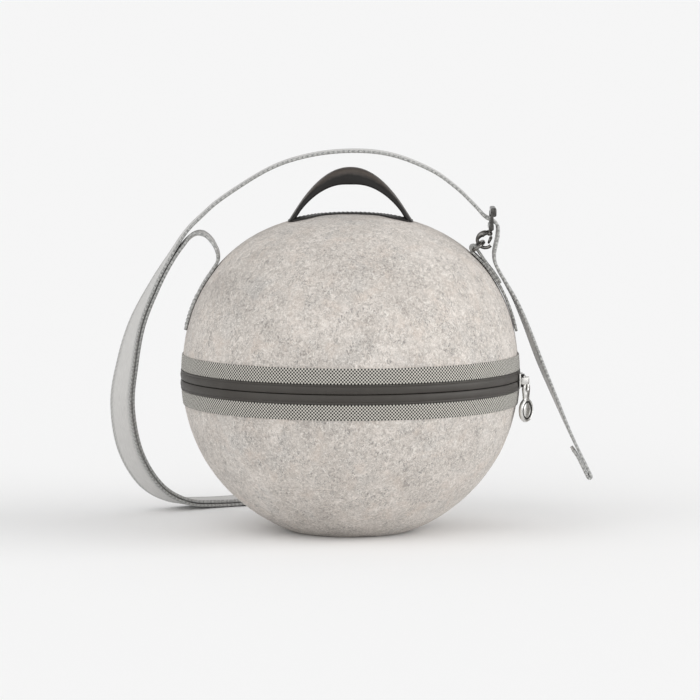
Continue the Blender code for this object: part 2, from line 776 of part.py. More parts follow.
def add_handle_patch():
    """Thin leather patch on the felt, which the grip's feet are sewn to."""
    bm = bmesh.new()
    across, along = 5, 13
    layers = []
    for proud in (GAP, GAP + PATCH):
        rows = []
        for i in range(along):
            x = PATCH_LENGTH * (i / (along - 1) - 0.5)
            ys = [PATCH_WIDTH * (j / (across - 1) - 0.5) for j in range(across)]
            rows.append([bm.verts.new(top_point(x, y, proud)) for y in ys])
        layers.append(rows)
    low, high = layers
    for i in range(along - 1):
        for j in range(across - 1):
            for rows in layers:
                bm.faces.new((rows[i][j], rows[i][j + 1], rows[i + 1][j + 1], rows[i + 1][j]))
        for j in (0, across - 1):
            bm.faces.new((low[i][j], low[i + 1][j], high[i + 1][j], high[i][j]))
    for i in (0, along - 1):
        for j in range(across - 1):
            bm.faces.new((low[i][j], low[i][j + 1], high[i][j + 1], high[i][j]))
    add_object("handle_patch", finish_mesh("handle_patch", bm), leather())


def build():
    clear_scene()
    for side in (-1, 1):
        add_half(side)
    add_rear_hinge()
    add_zip_stops()
    slider = add_zip_slider()
    add_zip_pull(slider)
    add_handle_patch()
    add_handle()
    add_right_tab()
    add_d_ring()
    add_snap_hook()
    add_swivel_eye()
    add_shoulder_strap()


build()
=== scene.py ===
"""Looks of the ball-shaped felt carrying case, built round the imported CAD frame.

Metres, +Z up. The origin is the centre of the flat base, the front is -Y, the
zip slider and the hooked end of the strap are on +X, and the lid's hinge is on +Y.
"""

from math import asin, ceil, copysign, cos, hypot, pi, radians, sin, sqrt

import bmesh
import bpy
import numpy as np
from mathutils import Matrix, Vector, noise


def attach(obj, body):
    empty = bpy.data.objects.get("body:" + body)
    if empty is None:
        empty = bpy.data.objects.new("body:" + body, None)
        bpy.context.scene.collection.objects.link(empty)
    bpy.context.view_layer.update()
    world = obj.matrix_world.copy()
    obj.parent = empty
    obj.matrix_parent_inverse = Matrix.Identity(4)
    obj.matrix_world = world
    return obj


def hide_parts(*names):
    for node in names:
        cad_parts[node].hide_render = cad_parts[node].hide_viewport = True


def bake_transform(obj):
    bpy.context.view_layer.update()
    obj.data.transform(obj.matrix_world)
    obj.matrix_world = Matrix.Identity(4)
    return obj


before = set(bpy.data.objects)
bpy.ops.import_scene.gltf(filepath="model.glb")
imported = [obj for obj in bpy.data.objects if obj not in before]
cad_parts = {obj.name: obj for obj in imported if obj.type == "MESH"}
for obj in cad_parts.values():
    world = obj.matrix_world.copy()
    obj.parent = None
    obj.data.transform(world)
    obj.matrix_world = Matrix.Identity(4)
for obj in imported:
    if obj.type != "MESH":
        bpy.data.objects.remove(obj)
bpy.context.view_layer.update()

MM = 0.001


def mm(*sizes):
    """Millimetres, in metres."""
    return tuple(size * MM for size in sizes)


# Sizes repeated from the CAD model
BALL_RADIUS = 119.6 * MM
SEAM = 108.8 * MM
LID_RISE, LID_POWER = 116.9 * MM, 2.3
BASE_RISE, BASE_POWER = 116.4 * MM, 2.0
FELT, SHELL, LINING, LAYER_GAP = mm(3.0, 3.5, 1.5, 0.8)
TAPE_OUT = 120.8 * MM
ZIP_HALF_ARC = 150.0
COIL_MIDDLE = 118.4 * MM
FELT_START = 7.3 * MM
SHELL_START = 4.4 * MM
BAND_START, BAND_END = mm(7.1, 17.9)
SLIDER_AT = 81.0
PIN_RADIUS = 125.8 * MM
HANDLE_FOOT_X, HANDLE_FOOT_Z = mm(44.2, 219.9)
HANDLE_TOP, HANDLE_DEPTH, HANDLE_FOOT = mm(259.0, 12.2, 3.0)
HANDLE_WALL, HANDLE_WIDTH = mm(2.2, 28.0)
PATCH_LENGTH, PATCH_WIDTH, PATCH = mm(88.0, 32.0, 0.8)
GAP = 0.3 * MM
WEB_WIDTH, STRAP, TAB_LAYER = mm(25.0, 2.2, 1.3)
RING_BAR_HEIGHT = 89.5 * MM
RING_WIRE = 1.2 * MM
RING_TOP = mm(94.4, 205.8)
RING_INNER_WIDTH = 26.5 * MM
SWIVEL_X = 99.0 * MM
BOW_CENTRE = mm(95.7, 207.2)
BOW_RADIUS, BOW_WIRE, GATE_WIRE = mm(5.6, 1.2, 0.7)
EYE_TOP, EYE_BOTTOM = mm(230.5, 214.6)

# The strap lies where its CAD solid does, but twists less, and its two layers are closer
LAYER_PITCH = 2.8 * MM
# Its route in millimetres: x, y, z, then the degrees that its width is turned from +Y
STRAP_RISE = [
    (-94.2, 0.5, 193.0, 0.0), (-95.6, 2.0, 201.0, 1.0), (-101.4, 5.5, 208.3, 2.0),
    (-109.0, 9.5, 210.6, 3.0), (-116.4, 13.0, 206.2, 4.0),
]
STRAP_FALL = [
    (-128.6, 17.0, 195.0, 5.0), (-141.2, 25.0, 173.5, 11.0), (-154.4, 36.0, 145.0, 20.0),
    (-162.5, 48.0, 114.0, 30.0), (-166.8, 61.0, 82.0, 37.0), (-162.0, 77.0, 47.0, 42.0),
    (-147.5, 93.0, 19.5, 43.0), (-127.5, 110.0, 5.5, 40.0), (-104.0, 127.0, 2.0, 31.0),
    (-77.0, 140.0, 1.9, 20.0),
]
STRAP_BIGHT = [
    (-50.0, 147.5, 1.9, 12.0), (-30.0, 151.0, 2.4, 8.0), (-17.0, 152.6, 6.0, 6.0),
    (-12.5, 153.0, 10.5, 6.0), (-18.0, 152.5, 14.4, 6.0), (-32.0, 150.8, 9.0, 8.0),
    (-50.0, 147.5, 5.6, 12.0),
]
STRAP_ARCH = [
    (-118.0, 13.0, 211.3, 3.0), (-107.0, 9.5, 223.0, 2.0), (-90.0, 5.5, 237.5, 1.0),
    (-57.0, 1.5, 258.0, 0.0), (-28.0, 0.0, 267.5, 0.0), (2.6, 0.0, 270.5, 0.0),
    (30.0, 0.0, 267.5, 0.0), (57.0, 0.0, 257.0, 0.0), (75.0, 0.0, 244.5, 0.0),
    (88.0, 0.0, 232.0, 0.0), (95.0, 0.0, 224.4, 0.0), (100.4, 0.0, 221.4, 0.0),
    (104.3, 0.0, 217.6, 0.0), (104.4, 0.0, 210.5, 0.0), (103.2, 0.0, 204.5, 0.0),
]
STRAP_TAIL = [
    (102.0, 0.0, 198.0, 0.0), (102.6, 0.0, 191.5, 0.0), (105.8, 0.0, 184.5, 1.0),
    (110.2, 0.0, 177.0, 2.0), (117.4, 0.0, 164.0, 4.0), (124.8, 0.0, 147.0, 6.0),
    (135.2, 0.0, 120.0, 7.0), (147.0, 0.0, 92.0, 4.0), (157.4, 0.0, 68.0, 0.5),
    (171.0, 0.0, 40.0, 0.0),
]
# Heights above the seam, in millimetres, where webbing is sewn to the lid. The strap's end
# is pressed into the felt by SEWN_SINK.
SEWN_SINK = 0.3 * MM
SEWN_HEIGHTS = (35.0, 43.0, 52.0, 61.0, 69.0, 76.0)
TAB_HEIGHTS = (34.0, 45.0, 56.0, 66.0, 76.0, 83.0)


# ---- materials


class Shade:
    """A node material with a Principled shader, built one node at a time."""

    def __init__(self, name, colour, roughness, metallic=0.0, sheen=0.0, specular=0.5):
        self.material = bpy.data.materials.new(name)
        self.material.use_nodes = True
        self.tree = self.material.node_tree
        self.shader = self.tree.nodes["Principled BSDF"]
        settings = {
            "Base Color": (*colour, 1.0),
            "Roughness": roughness,
            "Metallic": metallic,
            "Specular IOR Level": specular,
            "Sheen Weight": sheen,
            "Sheen Roughness": 0.5,
        }
        for socket, value in settings.items():
            self.shader.inputs[socket].default_value = value
        coordinates = self.tree.nodes.new("ShaderNodeTexCoord")
        self.where = coordinates.outputs["Object"]
        self.uv = coordinates.outputs["UV"]

    def node(self, kind, feeds=(), output=0, **settings):
        made = self.tree.nodes.new("ShaderNode" + kind)
        for key, value in settings.items():
            setattr(made, key, value)
        for socket, value in feeds:
            if isinstance(value, bpy.types.NodeSocket):
                self.tree.links.new(value, made.inputs[socket])
            else:
                made.inputs[socket].default_value = value
        return made.outputs[output]

    def math(self, operation, a, b=0.0, clamp=False):
        return self.node("Math", ((0, a), (1, b)), operation=operation, use_clamp=clamp)

    def moved(self, vector, scale=(1, 1, 1), turn=(0, 0, 0), shift=(0, 0, 0)):
        feeds = (("Vector", vector), ("Location", shift), ("Rotation", turn), ("Scale", scale))
        return self.node("Mapping", feeds)

    def noise(self, vector, scale, detail=2.0, roughness=0.5, distortion=0.0):
        sockets = ("Vector", "Scale", "Detail", "Roughness", "Distortion")
        return self.node("TexNoise", zip(sockets, (vector, scale, detail, roughness, distortion)))

    def ramp(self, value, *stops):
        """Colour ramp; each stop is (place, colour or grey)."""
        output = self.node("ValToRGB", ((0, value),))
        elements = output.node.color_ramp.elements
        while len(elements) < len(stops):
            elements.new(0.5)
        for element, (place, colour) in zip(elements, stops):
            element.position = place
            colour = colour if isinstance(colour, tuple) else (colour,) * 3
            element.color = (*colour, 1.0)
        return output

    def mix(self, share, a, b, blend="MIX"):
        a, b = ((*c, 1.0) if isinstance(c, tuple) else c for c in (a, b))
        feeds = ((0, share), (6, a), (7, b))
        return self.node("Mix", feeds, 2, data_type="RGBA", blend_type=blend)

    def hairs(self, scale, width, shift, stretch=(1, 1, 1), turn=(0, 0, 0)):
        """Thin curved lines, 1 on a line and 0 off it, like fibres lying on cloth."""
        place = self.moved(self.where, stretch, turn, shift)
        field = self.noise(place, scale, 1.0, 0.5, 0.9)
        away = self.math("ABSOLUTE", self.math("SUBTRACT", field, 0.5))
        return self.math("SUBTRACT", 1.0, self.math("DIVIDE", away, width), clamp=True)

    def colour(self, value):
        self.tree.links.new(value, self.shader.inputs["Base Color"])

    def rough(self, value):
        self.tree.links.new(value, self.shader.inputs["Roughness"])

    def bump(self, height, distance, strength=1.0):
        feeds = (("Height", height), ("Distance", distance), ("Strength", strength))
        self.tree.links.new(self.node("Bump", feeds), self.shader.inputs["Normal"])


def felt_shade():
    """Moulded wool felt: beige and bluish patches, and short dark and white fibres."""
    s = Shade("wool_felt", (0.56, 0.54, 0.51), 0.92, sheen=0.12, specular=0.25)
    cloud = s.noise(s.where, 26.0, 3.0, 0.62, 0.4)
    fleck = s.noise(s.moved(s.where, shift=(0.3, 0.1, 0.2)), 300.0, 4.0, 0.7, 1.2)
    fuzz = s.noise(s.moved(s.where, shift=(0.7, 0.4, 0.9)), 900.0, 3.0, 0.6, 0.8)
    tone = s.math("ADD", s.math("MULTIPLY", cloud, 0.35), s.math("MULTIPLY", fleck, 0.65))
    base = s.ramp(
        tone,
        (0.37, (0.345, 0.314, 0.29)),
        (0.45, (0.485, 0.446, 0.41)),
        (0.53, (0.57, 0.526, 0.485)),
        (0.61, (0.695, 0.643, 0.598)),
    )
    blue = s.noise(s.moved(s.where, shift=(1.3, 2.1, 0.4)), 34.0, 3.0, 0.6, 0.5)
    base = s.mix(s.ramp(blue, (0.54, 0.0), (0.68, 0.35)), base, (0.45, 0.446, 0.436))
    rust = s.noise(s.moved(s.where, shift=(4.3, 0.1, 2.4)), 55.0, 4.0, 0.6, 0.6)
    base = s.mix(s.ramp(rust, (0.52, 0.0), (0.68, 0.5)), base, (0.57, 0.49, 0.43))
    place = s.moved(s.where, (1.0, 1.0, 0.55), (0.3, 0.5, 0.9), (5.1, 0.3, 1.7))
    speck = s.noise(place, 480.0, 2.0, 0.55, 1.5)
    patch = s.noise(s.moved(s.where, shift=(2.0, 3.0, 1.0)), 75.0, 3.0, 0.6)
    thick = s.ramp(patch, (0.4, 0.15), (0.6, 1.0))
    spots = s.math("MULTIPLY", s.ramp(speck, (0.54, 0.0), (0.64, 0.85)), thick)
    base = s.mix(spots, base, (0.255, 0.24, 0.225))
    dark = s.hairs(330.0, 0.03, (0.1, 0.7, 0.2))
    share = s.math("MULTIPLY", s.math("MULTIPLY", dark, thick), 0.6)
    base = s.mix(share, base, (0.25, 0.245, 0.24))
    pale = s.hairs(390.0, 0.04, (0.9, 0.2, 0.6))
    base = s.mix(s.math("MULTIPLY", pale, 0.55), base, (0.86, 0.83, 0.78))
    base = s.mix(0.5, base, s.ramp(fuzz, (0.3, 0.25), (0.7, 0.78)), "SOFT_LIGHT")
    s.colour(base)
    height = s.math("ADD", s.math("MULTIPLY", fuzz, 0.5), s.math("MULTIPLY", pale, 0.3))
    height = s.math("ADD", height, s.math("MULTIPLY", fleck, 0.6))
    s.bump(height, 0.0007, 0.55)
    return s.material


def weave_shade():
    """Basket weave: black warp cells and off-white weft cells, from the UV in metres."""
    s = Shade("basket_weave", (0.2, 0.2, 0.19), 0.8, sheen=0.15, specular=0.3)
    cells = s.node("TexChecker", (("Vector", s.uv), ("Scale", 1.0 / WEAVE_CELL)), 1)
    slub = s.noise(s.moved(s.uv, (3000.0, 3000.0, 1.0)), 1.0, 2.0)
    dark = s.ramp(slub, (0.3, (0.004, 0.004, 0.004)), (0.7, (0.02, 0.02, 0.018)))
    pale = s.ramp(slub, (0.3, (0.42, 0.405, 0.365)), (0.7, (0.68, 0.655, 0.595)))
    s.colour(s.mix(cells, dark, pale))
    s.bump(slub, 0.0002, 0.5)
    return s.material


def tape_shade():
    """Coated zip tape: dark brown-grey film with a satin, slightly pebbled face."""
    s = Shade("coated_tape", (0.075, 0.07, 0.065), 0.5, specular=0.45)
    mottle = s.noise(s.where, 60.0, 3.0)
    grain = s.noise(s.where, 2600.0, 3.0, 0.6)
    s.colour(s.ramp(mottle, (0.3, (0.034, 0.029, 0.024)), (0.7, (0.044, 0.039, 0.033))))
    s.rough(s.ramp(grain, (0.3, 0.42), (0.7, 0.58)))
    s.bump(grain, 0.00015, 0.35)
    return s.material


def nylon_shade():
    s = Shade("nylon_coil", (0.02, 0.02, 0.021), 0.38)
    s.rough(s.ramp(s.noise(s.where, 1500.0, 2.0), (0.3, 0.3), (0.7, 0.5)))
    return s.material


def leather_shade(name, tone, crown=None):
    """Smooth dark leather with fine pores and creases; its crown is painted lighter, a painted
    highlight along the top of the grip.

    crown is (where it starts, where it ends) in metres round the section."""
    s = Shade(name, tone, 0.46, specular=0.3)
    pores = s.node("TexVoronoi", (("Vector", s.where), ("Scale", 1500.0)), 0)
    fold = s.noise(s.moved(s.where, (1.0, 3.0, 1.0)), 190.0, 4.0, 0.6, 0.4)
    low, high = (tuple(c * k for c in tone) for k in (0.7, 1.3))
    base = s.ramp(fold, (0.3, low), (0.7, high))
    if crown:
        # Painted highlight: the band round the crown is painted lighter, fading towards its edges
        # and broken up by the creases.
        around = s.node("SeparateXYZ", (("Vector", s.uv),), 1)
        middle, half = (crown[0] + crown[1]) / 2, (crown[1] - crown[0]) / 2
        away = s.math("ABSOLUTE", s.math("SUBTRACT", around, middle))
        share = s.math("DIVIDE", away, half)
        highlight_reach = s.math("ADD", share, s.math("MULTIPLY", s.math("SUBTRACT", fold, 0.5), 0.35))
        painted_highlight = s.ramp(s.math("MULTIPLY", highlight_reach, 0.5), (0.38, 0.9), (0.58, 0.0))
        base = s.mix(painted_highlight, base, tuple(c * 12.0 for c in tone))
    s.colour(base)
    s.rough(s.ramp(fold, (0.3, 0.36), (0.7, 0.52)))
    height = s.math("ADD", s.math("MULTIPLY", pores, 0.4), s.math("MULTIPLY", fold, 0.6))
    s.bump(height, 0.0003, 0.4)
    return s.material


def strap_shade(name, face_low, face_high, edge_dark, edge_pale):
    """Webbing: a satin face with fine weft ribs, painted shade between the ribs and painted sheen
    streaks along it, and speckled herringbone edges.

    The UV is (metres along, metres from the middle of the width)."""
    s = Shade(name, face_high, 0.55, sheen=0.2, specular=0.4)
    along = s.node("SeparateXYZ", (("Vector", s.uv),))
    off = s.math("ABSOLUTE", along.node.outputs[1])
    ribs = s.math("SINE", s.math("MULTIPLY", along, 2 * pi / 0.0009))
    slant = s.math("ADD", along, s.math("MULTIPLY", off, 1.3))
    twill = s.math("SINE", s.math("MULTIPLY", slant, 2 * pi / 0.0036))
    # Painted sheen: lengthwise streaks that shift the face between its darker and lighter tones.
    sheen_streaks = s.noise(s.moved(s.uv, (160.0, 2600.0, 1.0)), 1.0, 3.0)
    cloth = s.ramp(sheen_streaks, (0.3, face_low), (0.7, face_high))
    shadow = s.math("MULTIPLY", s.math("ADD", ribs, 1.0), 0.08)
    cloth = s.mix(shadow, cloth, tuple(c * 0.5 for c in face_low))
    grit = s.noise(s.moved(s.uv, (1300.0, 1300.0, 1.0)), 1.0, 2.0, 0.6)
    speck = s.math("ADD", s.math("MULTIPLY", twill, 0.07), grit)
    edge_middle = tuple((a + b) / 2 for a, b in zip(edge_dark, edge_pale))
    edge = s.ramp(speck, (0.36, edge_dark), (0.5, edge_middle), (0.62, edge_pale))
    is_edge = s.ramp(off, (0.0088, 0.0), (0.0096, 1.0))
    s.colour(s.mix(is_edge, cloth, edge))
    height = s.math("ADD", s.math("MULTIPLY", ribs, 0.3), s.math("MULTIPLY", speck, 0.6))
    s.bump(height, 0.0002, 0.6)
    return s.material


def metal_shade(name, colour, roughness):
    """Plated metal with hairline scratches and slight tarnish in the plating."""
    s = Shade(name, colour, roughness, metallic=1.0)
    scratch = s.noise(s.moved(s.where, (300.0, 300.0, 3500.0)), 1.0, 3.0, 0.7)
    tarnish = s.noise(s.where, 240.0, 3.0)
    dull = tuple(c * 0.7 for c in colour)
    s.colour(s.ramp(tarnish, (0.32, dull), (0.62, colour)))
    s.rough(s.ramp(scratch, (0.3, roughness * 0.7), (0.7, roughness * 1.5)))
    s.bump(scratch, 0.00005, 0.25)
    return s.material


def plastic_shade():
    s = Shade("moulded_shell", (0.05, 0.05, 0.055), 0.6)
    speck = s.noise(s.where, 700.0, 4.0, 0.6)
    s.colour(s.ramp(speck, (0.3, (0.04, 0.04, 0.044)), (0.7, (0.065, 0.065, 0.07))))
    s.bump(speck, 0.0002, 0.5)
    return s.material


def lining_shade():
    """Brushed dark lining with a soft nap."""
    s = Shade("brushed_lining", (0.1, 0.1, 0.103), 0.95, sheen=0.15, specular=0.2)
    nap = s.noise(s.moved(s.where, (1.0, 1.0, 0.35)), 1300.0, 3.0, 0.7)
    cloud = s.noise(s.where, 45.0, 3.0)
    base = s.ramp(cloud, (0.3, (0.085, 0.085, 0.088)), (0.7, (0.115, 0.115, 0.118)))
    s.colour(s.mix(0.5, base, s.ramp(nap, (0.3, 0.25), (0.7, 0.75)), "OVERLAY"))
    s.bump(nap, 0.0004, 0.6)
    return s.material


def thread_shade(name, colour):
    s = Shade(name, colour, 0.6, sheen=0.2)
    twist = s.noise(s.where, 4000.0, 2.0)
    low, high = (tuple(c * k for c in colour) for k in (0.7, 1.3))
    s.colour(s.ramp(twist, (0.3, low), (0.7, high)))
    return s.material


# ---- mesh helpers


def linked(name, data):
    """A new object, linked to the scene."""
    item = bpy.data.objects.new(name, data)
    bpy.context.scene.collection.objects.link(item)
    return item


def mesh_of(bm):
    """The mesh that a bmesh holds. The bmesh is freed."""
    mesh = bpy.data.meshes.new("mesh")
    bm.to_mesh(mesh)
    bm.free()
    return mesh


def add_piece(name, mesh, finish, body, slot, *replaced):
    """Link a finished mesh, on a CAD body, in place of CAD nodes. A body of None leaves it on no
    body.
    """
    mesh.name = name
    mesh.materials.append(finish)
    mesh.shade_smooth()
    item = linked(name, mesh)
    if body:
        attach(item, body)
    if replaced:
        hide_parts(*replaced)
    return item


def outward(mesh):
    """Turn a closed mesh's faces outwards."""
    bm = bmesh.new()
    bm.from_mesh(mesh)
    bmesh.ops.remove_doubles(bm, verts=bm.verts, dist=1e-7)
    bmesh.ops.dissolve_degenerate(bm, dist=1e-8, edges=bm.edges)
    bmesh.ops.recalc_face_normals(bm, faces=bm.faces)
    if bm.calc_volume(signed=True) < 0:
        bmesh.ops.reverse_faces(bm, faces=bm.faces)
    bm.to_mesh(mesh)
    bm.free()
    return mesh


def loft(rings, along, around, closed=False):
    """A closed mesh through rings of points. along and around are the UVs, in metres."""
    rings = np.asarray(rings, float)
    rows, cols = rings.shape[:2]
    spans = rows if closed else rows - 1
    i, j = np.meshgrid(np.arange(spans), np.arange(cols), indexing="ij")
    near, far = i % rows, (i + 1) % rows
    left, right = j, (j + 1) % cols
    quads = (near * cols + left, near * cols + right, far * cols + right, far * cols + left)
    faces = np.stack(quads, -1).reshape(-1, 4).tolist()
    along, around = np.asarray(along), np.asarray(around)
    u = np.stack([along[i], along[i], along[i + 1], along[i + 1]], -1)
    v = np.stack([around[j], around[j + 1], around[j + 1], around[j]], -1)
    uvs = np.stack([u, v], -1).reshape(-1, 2)
    if not closed:
        faces.append(list(range(cols)))
        faces.append(list(range((rows - 1) * cols, rows * cols)))
        uvs = np.concatenate([uvs, np.zeros((2 * cols, 2))])
    mesh = bpy.data.meshes.new("mesh")
    mesh.from_pydata(rings.reshape(-1, 3).tolist(), [], faces)
    layer = mesh.uv_layers.new(name="metres")
    layer.data.foreach_set("uv", uvs.astype(np.float32).ravel())
    return outward(mesh)


def direction(angle):
    """Level unit vector at an angle in degrees from the front, positive towards +X."""
    turn = radians(angle)
    return Vector((sin(turn), -cos(turn), 0.0))


def lengths(points, closed=False):
    """Distance along a line of points, one more entry than points if it is closed."""
    points = np.asarray(points, float)
    ends = np.concatenate([points[1:], points[:1]]) if closed else points[1:]
    steps = np.linalg.norm(ends - points[: len(ends)], axis=1)
    return np.concatenate([[0.0], np.cumsum(steps)])


def swept(radii, heights, angles):
    """Rings of points at radii and heights, one ring at each angle about the vertical."""
    x = radii * np.sin(angles)[:, None]
    y = -radii * np.cos(angles)[:, None]
    return np.stack([x, y, np.broadcast_to(heights, x.shape)], -1)


def turned(profile, count, middle=None, half_arc=None):
    """Turn a closed (radius, z) outline about the vertical, all round or over an arc."""
    whole = half_arc is None
    if whole:
        angles = np.radians(np.arange(count) * 360.0 / count)
    else:
        angles = np.radians(np.linspace(middle - half_arc, middle + half_arc, count))
    rings = swept(*np.asarray(profile, float).T, angles)
    step = 2 * pi / count if whole else radians(2 * half_arc) / (count - 1)
    along = np.arange(len(angles) + 1) * step * TAPE_OUT
    return loft(rings, along, lengths(profile, True), whole)


def dome_radius(height, rise, power, inset):
    radius = BALL_RADIUS - inset
    share = min(1.0, height / (rise - inset))
    return radius * (1.0 - share**power) ** (1.0 / power)


def dome_curve(start, stop, rise, power, inset, count):
    """(radius, height) points up a half's surface, evenly spread in slope."""
    low = asin(min(1.0, start / (rise - inset)))
    high = asin(min(1.0, stop / (rise - inset)))
    points = []
    for i in range(count):
        height = (rise - inset) * sin(low + (high - low) * i / (count - 1))
        points.append((dome_radius(height, rise, power, inset), height))
    return points


def displace(mesh, push):
    """Move every vertex along its normal by push(position)."""
    count = len(mesh.vertices)
    places = np.empty(count * 3, np.float32)
    mesh.vertices.foreach_get("co", places)
    normals = np.empty(count * 3, np.float32)
    mesh.vertex_normals.foreach_get("vector", normals)
    places, normals = places.reshape(-1, 3), normals.reshape(-1, 3)
    amounts = np.array([push(Vector(p)) for p in places.tolist()])
    places += normals * amounts[:, None]
    mesh.vertices.foreach_set("co", places.ravel())
    mesh.update()
    return mesh


def smooth_route(points, step):
    """A smooth curve through (x, y, z, turn) points, cut into steps no longer than this."""
    route = []
    last = len(points) - 1
    for i in range(last):
        p0, p1 = np.array(points[max(i - 1, 0)]), np.array(points[i])
        p2, p3 = np.array(points[i + 1]), np.array(points[min(i + 2, last)])
        count = ceil(np.linalg.norm(p2[:3] - p1[:3]) / step)
        for k in range(count):
            t = k / count
            bend = (2 * p0 - 5 * p1 + 4 * p2 - p3) * t * t + (3 * p1 - p0 - 3 * p2 + p3) * t**3
            route.append(0.5 * (2 * p1 + (p2 - p0) * t + bend))
    route.append(np.array(points[-1]))
    return route


def ribbon_frames(route):
    """(centre, width direction, thickness direction) at each (x, y, z, turn) point."""
    frames = []
    for i, row in enumerate(route):
        ahead = Vector(route[min(i + 1, len(route) - 1)][:3])
        behind = Vector(route[max(i - 1, 0)][:3])
        along = (ahead - behind).normalized()
        turn = radians(row[3])
        across = Vector((-sin(turn), cos(turn), 0.0))
        across = (across - along * across.dot(along)).normalized()
        frames.append((Vector(row[:3]), across, along.cross(across)))
    return frames


def metres(rows):
    return [(x * MM, y * MM, z * MM, turn) for x, y, z, turn in rows]


def web_section(width, thick):
    """Webbing's cross-section: (across, out) all round, with a tubular rib along each edge."""
    half, h = width / 2, thick / 2
    rib, groove = half - 1.5 * MM, half - 3.1 * MM
    side = [
        (half, 0.0),
        (half - 0.15 * MM, h * 0.55),
        (half - 0.6 * MM, h * 0.9),
        (rib, h),
        (rib - 0.8 * MM, h * 0.92),
        (groove, h * 0.66),
        (groove - 0.5 * MM, h * 0.84),
        (groove - 6.0 * MM, h * 0.86),
        (groove - 9.0 * MM, h * 0.88),
    ]
    top = side + [(-a, b) for a, b in side[::-1]]
    bottom = [(-a, -b) for a, b in top[1:-1]]
    return top + bottom


def ribbon(frames, width, thick):
    """Webbing along a route; the UV is (metres along, metres from the middle)."""
    section = web_section(width, thick)
    rings = []
    for centre, across, out in frames:
        rings.append([centre + across * a + out * b for a, b in section])
    along = lengths([centre for centre, across, out in frames])
    return loft(rings, along, [a for a, b in section] + [section[0][0]])


def wire(points, radius, closed=False, sides=16):
    """A round wire along points; radius is one number or one for each point."""
    points = [Vector(p) for p in points]
    radii = radius if hasattr(radius, "__len__") else [radius] * len(points)
    rings = []
    last = len(points) - 1
    normal = None
    for i, point in enumerate(points):
        ahead = points[(i + 1) % len(points)] if closed else points[min(i + 1, last)]
        behind = points[i - 1] if closed else points[max(i - 1, 0)]
        along = (ahead - behind).normalized()
        if normal is None:
            normal = along.orthogonal()
        normal = (normal - along * normal.dot(along)).normalized()
        side = along.cross(normal)
        ring = []
        for k in range(sides):
            turn = 2 * pi * k / sides
            ring.append(point + (normal * cos(turn) + side * sin(turn)) * radii[i])
        rings.append(ring)
    around = np.linspace(0.0, 2 * pi * max(radii), sides + 1)
    return loft(rings, lengths(points, closed), around, closed)


def rounded_path(corners, radius, count=6, closed=True):
    """Corners joined by straight lines, each corner rounded off by up to this radius."""
    corners = [Vector(c) for c in corners]
    total = len(corners)
    path = []
    for i, corner in enumerate(corners):
        if not closed and i in (0, total - 1):
            path.append(corner)
            continue
        before = corners[i - 1] - corner
        after = corners[(i + 1) % total] - corner
        cut = min(radius, before.length * 0.48, after.length * 0.48)
        start, end = corner + before.normalized() * cut, corner + after.normalized() * cut
        for k in range(count + 1):
            t = k / count
            path.append(start * (1 - t) ** 2 + corner * 2 * t * (1 - t) + end * t * t)
    return path


def block(centre, axes, size, bevel):
    """A machined block with rounded edges, its sides along three given directions."""
    bm = bmesh.new()
    rows = [(*[axes[k][r] * size[k] for k in range(3)], centre[r]) for r in range(3)]
    bmesh.ops.create_cube(bm, size=1.0, matrix=Matrix(rows + [(0, 0, 0, 1)]))
    bmesh.ops.recalc_face_normals(bm, faces=bm.faces)
    shape = {"segments": 3, "profile": 0.6, "affect": "EDGES"}
    bmesh.ops.bevel(bm, geom=bm.edges[:], offset=bevel, **shape)
    return outward(mesh_of(bm))


def merged(meshes):
    """Several closed meshes as one."""
    bm = bmesh.new()
    for mesh in meshes:
        bm.from_mesh(mesh)
    return mesh_of(bm)


def stitches(path, normals, gap, long, radius):
    """A row of raised thread stitches along a path, each one sinking at its ends."""
    run = lengths(path)
    radii = [radius * share for share in (0.6, 1.0, 1.0, 1.0, 0.6)]
    meshes = []
    at = gap / 2
    while at + long < run[-1]:
        spots = []
        for share in (0.0, 0.2, 0.5, 0.8, 1.0):
            place = at + long * share
            k = min(int(np.searchsorted(run, place)), len(path) - 1)
            t = (place - run[k - 1]) / max(run[k] - run[k - 1], 1e-9) if k else 0.0
            spot = Vector(path[k - 1]).lerp(Vector(path[k]), t) if k else Vector(path[0])
            lift = radius * (1.4 * sin(pi * share) - 0.7)
            spots.append(spot + Vector(normals[k]) * lift)
        meshes.append(wire(spots, radii, sides=6))
        at += long + gap
    return merged(meshes)


# ---- the ball

WEAVE_COUNT = 640
WEAVE_CELL = 2 * pi * TAPE_OUT / WEAVE_COUNT
WEAVE_STEPS_UP = 18
FELT_SPOTS = 480
HALVES = (("lid", 1, LID_RISE, LID_POWER), ("base", -1, BASE_RISE, BASE_POWER))


def bowl_profile(start, outset, thick, side, rise, power, count):
    """Closed outline of one layer of a half, with rounded lips."""
    floor = rise if side > 0 else SEAM
    outer_stop = floor - outset if side < 0 else rise - outset
    inner_stop = outer_stop - thick
    outer = dome_curve(start, outer_stop, rise, power, outset, count)
    inner = dome_curve(start, inner_stop, rise, power, outset + thick, count // 2)
    if side < 0:
        flat = outer[-1][0]
        outer += [(flat * k / 12, outer_stop) for k in range(11, -1, -1)]
        flat = inner[-1][0]
        inner += [(flat * k / 4, inner_stop) for k in range(3, -1, -1)]
        outer = soften(outer, count, 3.0 * MM)
    r0, z0 = outer[0]
    lip = [(r0 - thick * 0.5, z0), (r0 - 0.35 * MM, z0 + 0.05 * MM), (r0, z0 + 0.4 * MM)]
    outer = lip + outer[1:]
    return [(r, SEAM + side * h) for r, h in outer + inner[::-1]]


def soften(points, corner, reach):
    """Round the corner between a half's dome and its flat base."""
    points = [Vector((r, h)) for r, h in points]
    middle = points[corner - 1]
    kept = []
    for point in points:
        away = (point - middle).length
        if away < reach:
            pull = 0.18 * MM * (1.0 - away / reach) ** 2
            point = point - Vector((0.5, 0.85)).normalized() * pull
        kept.append((point.x, point.y))
    return kept


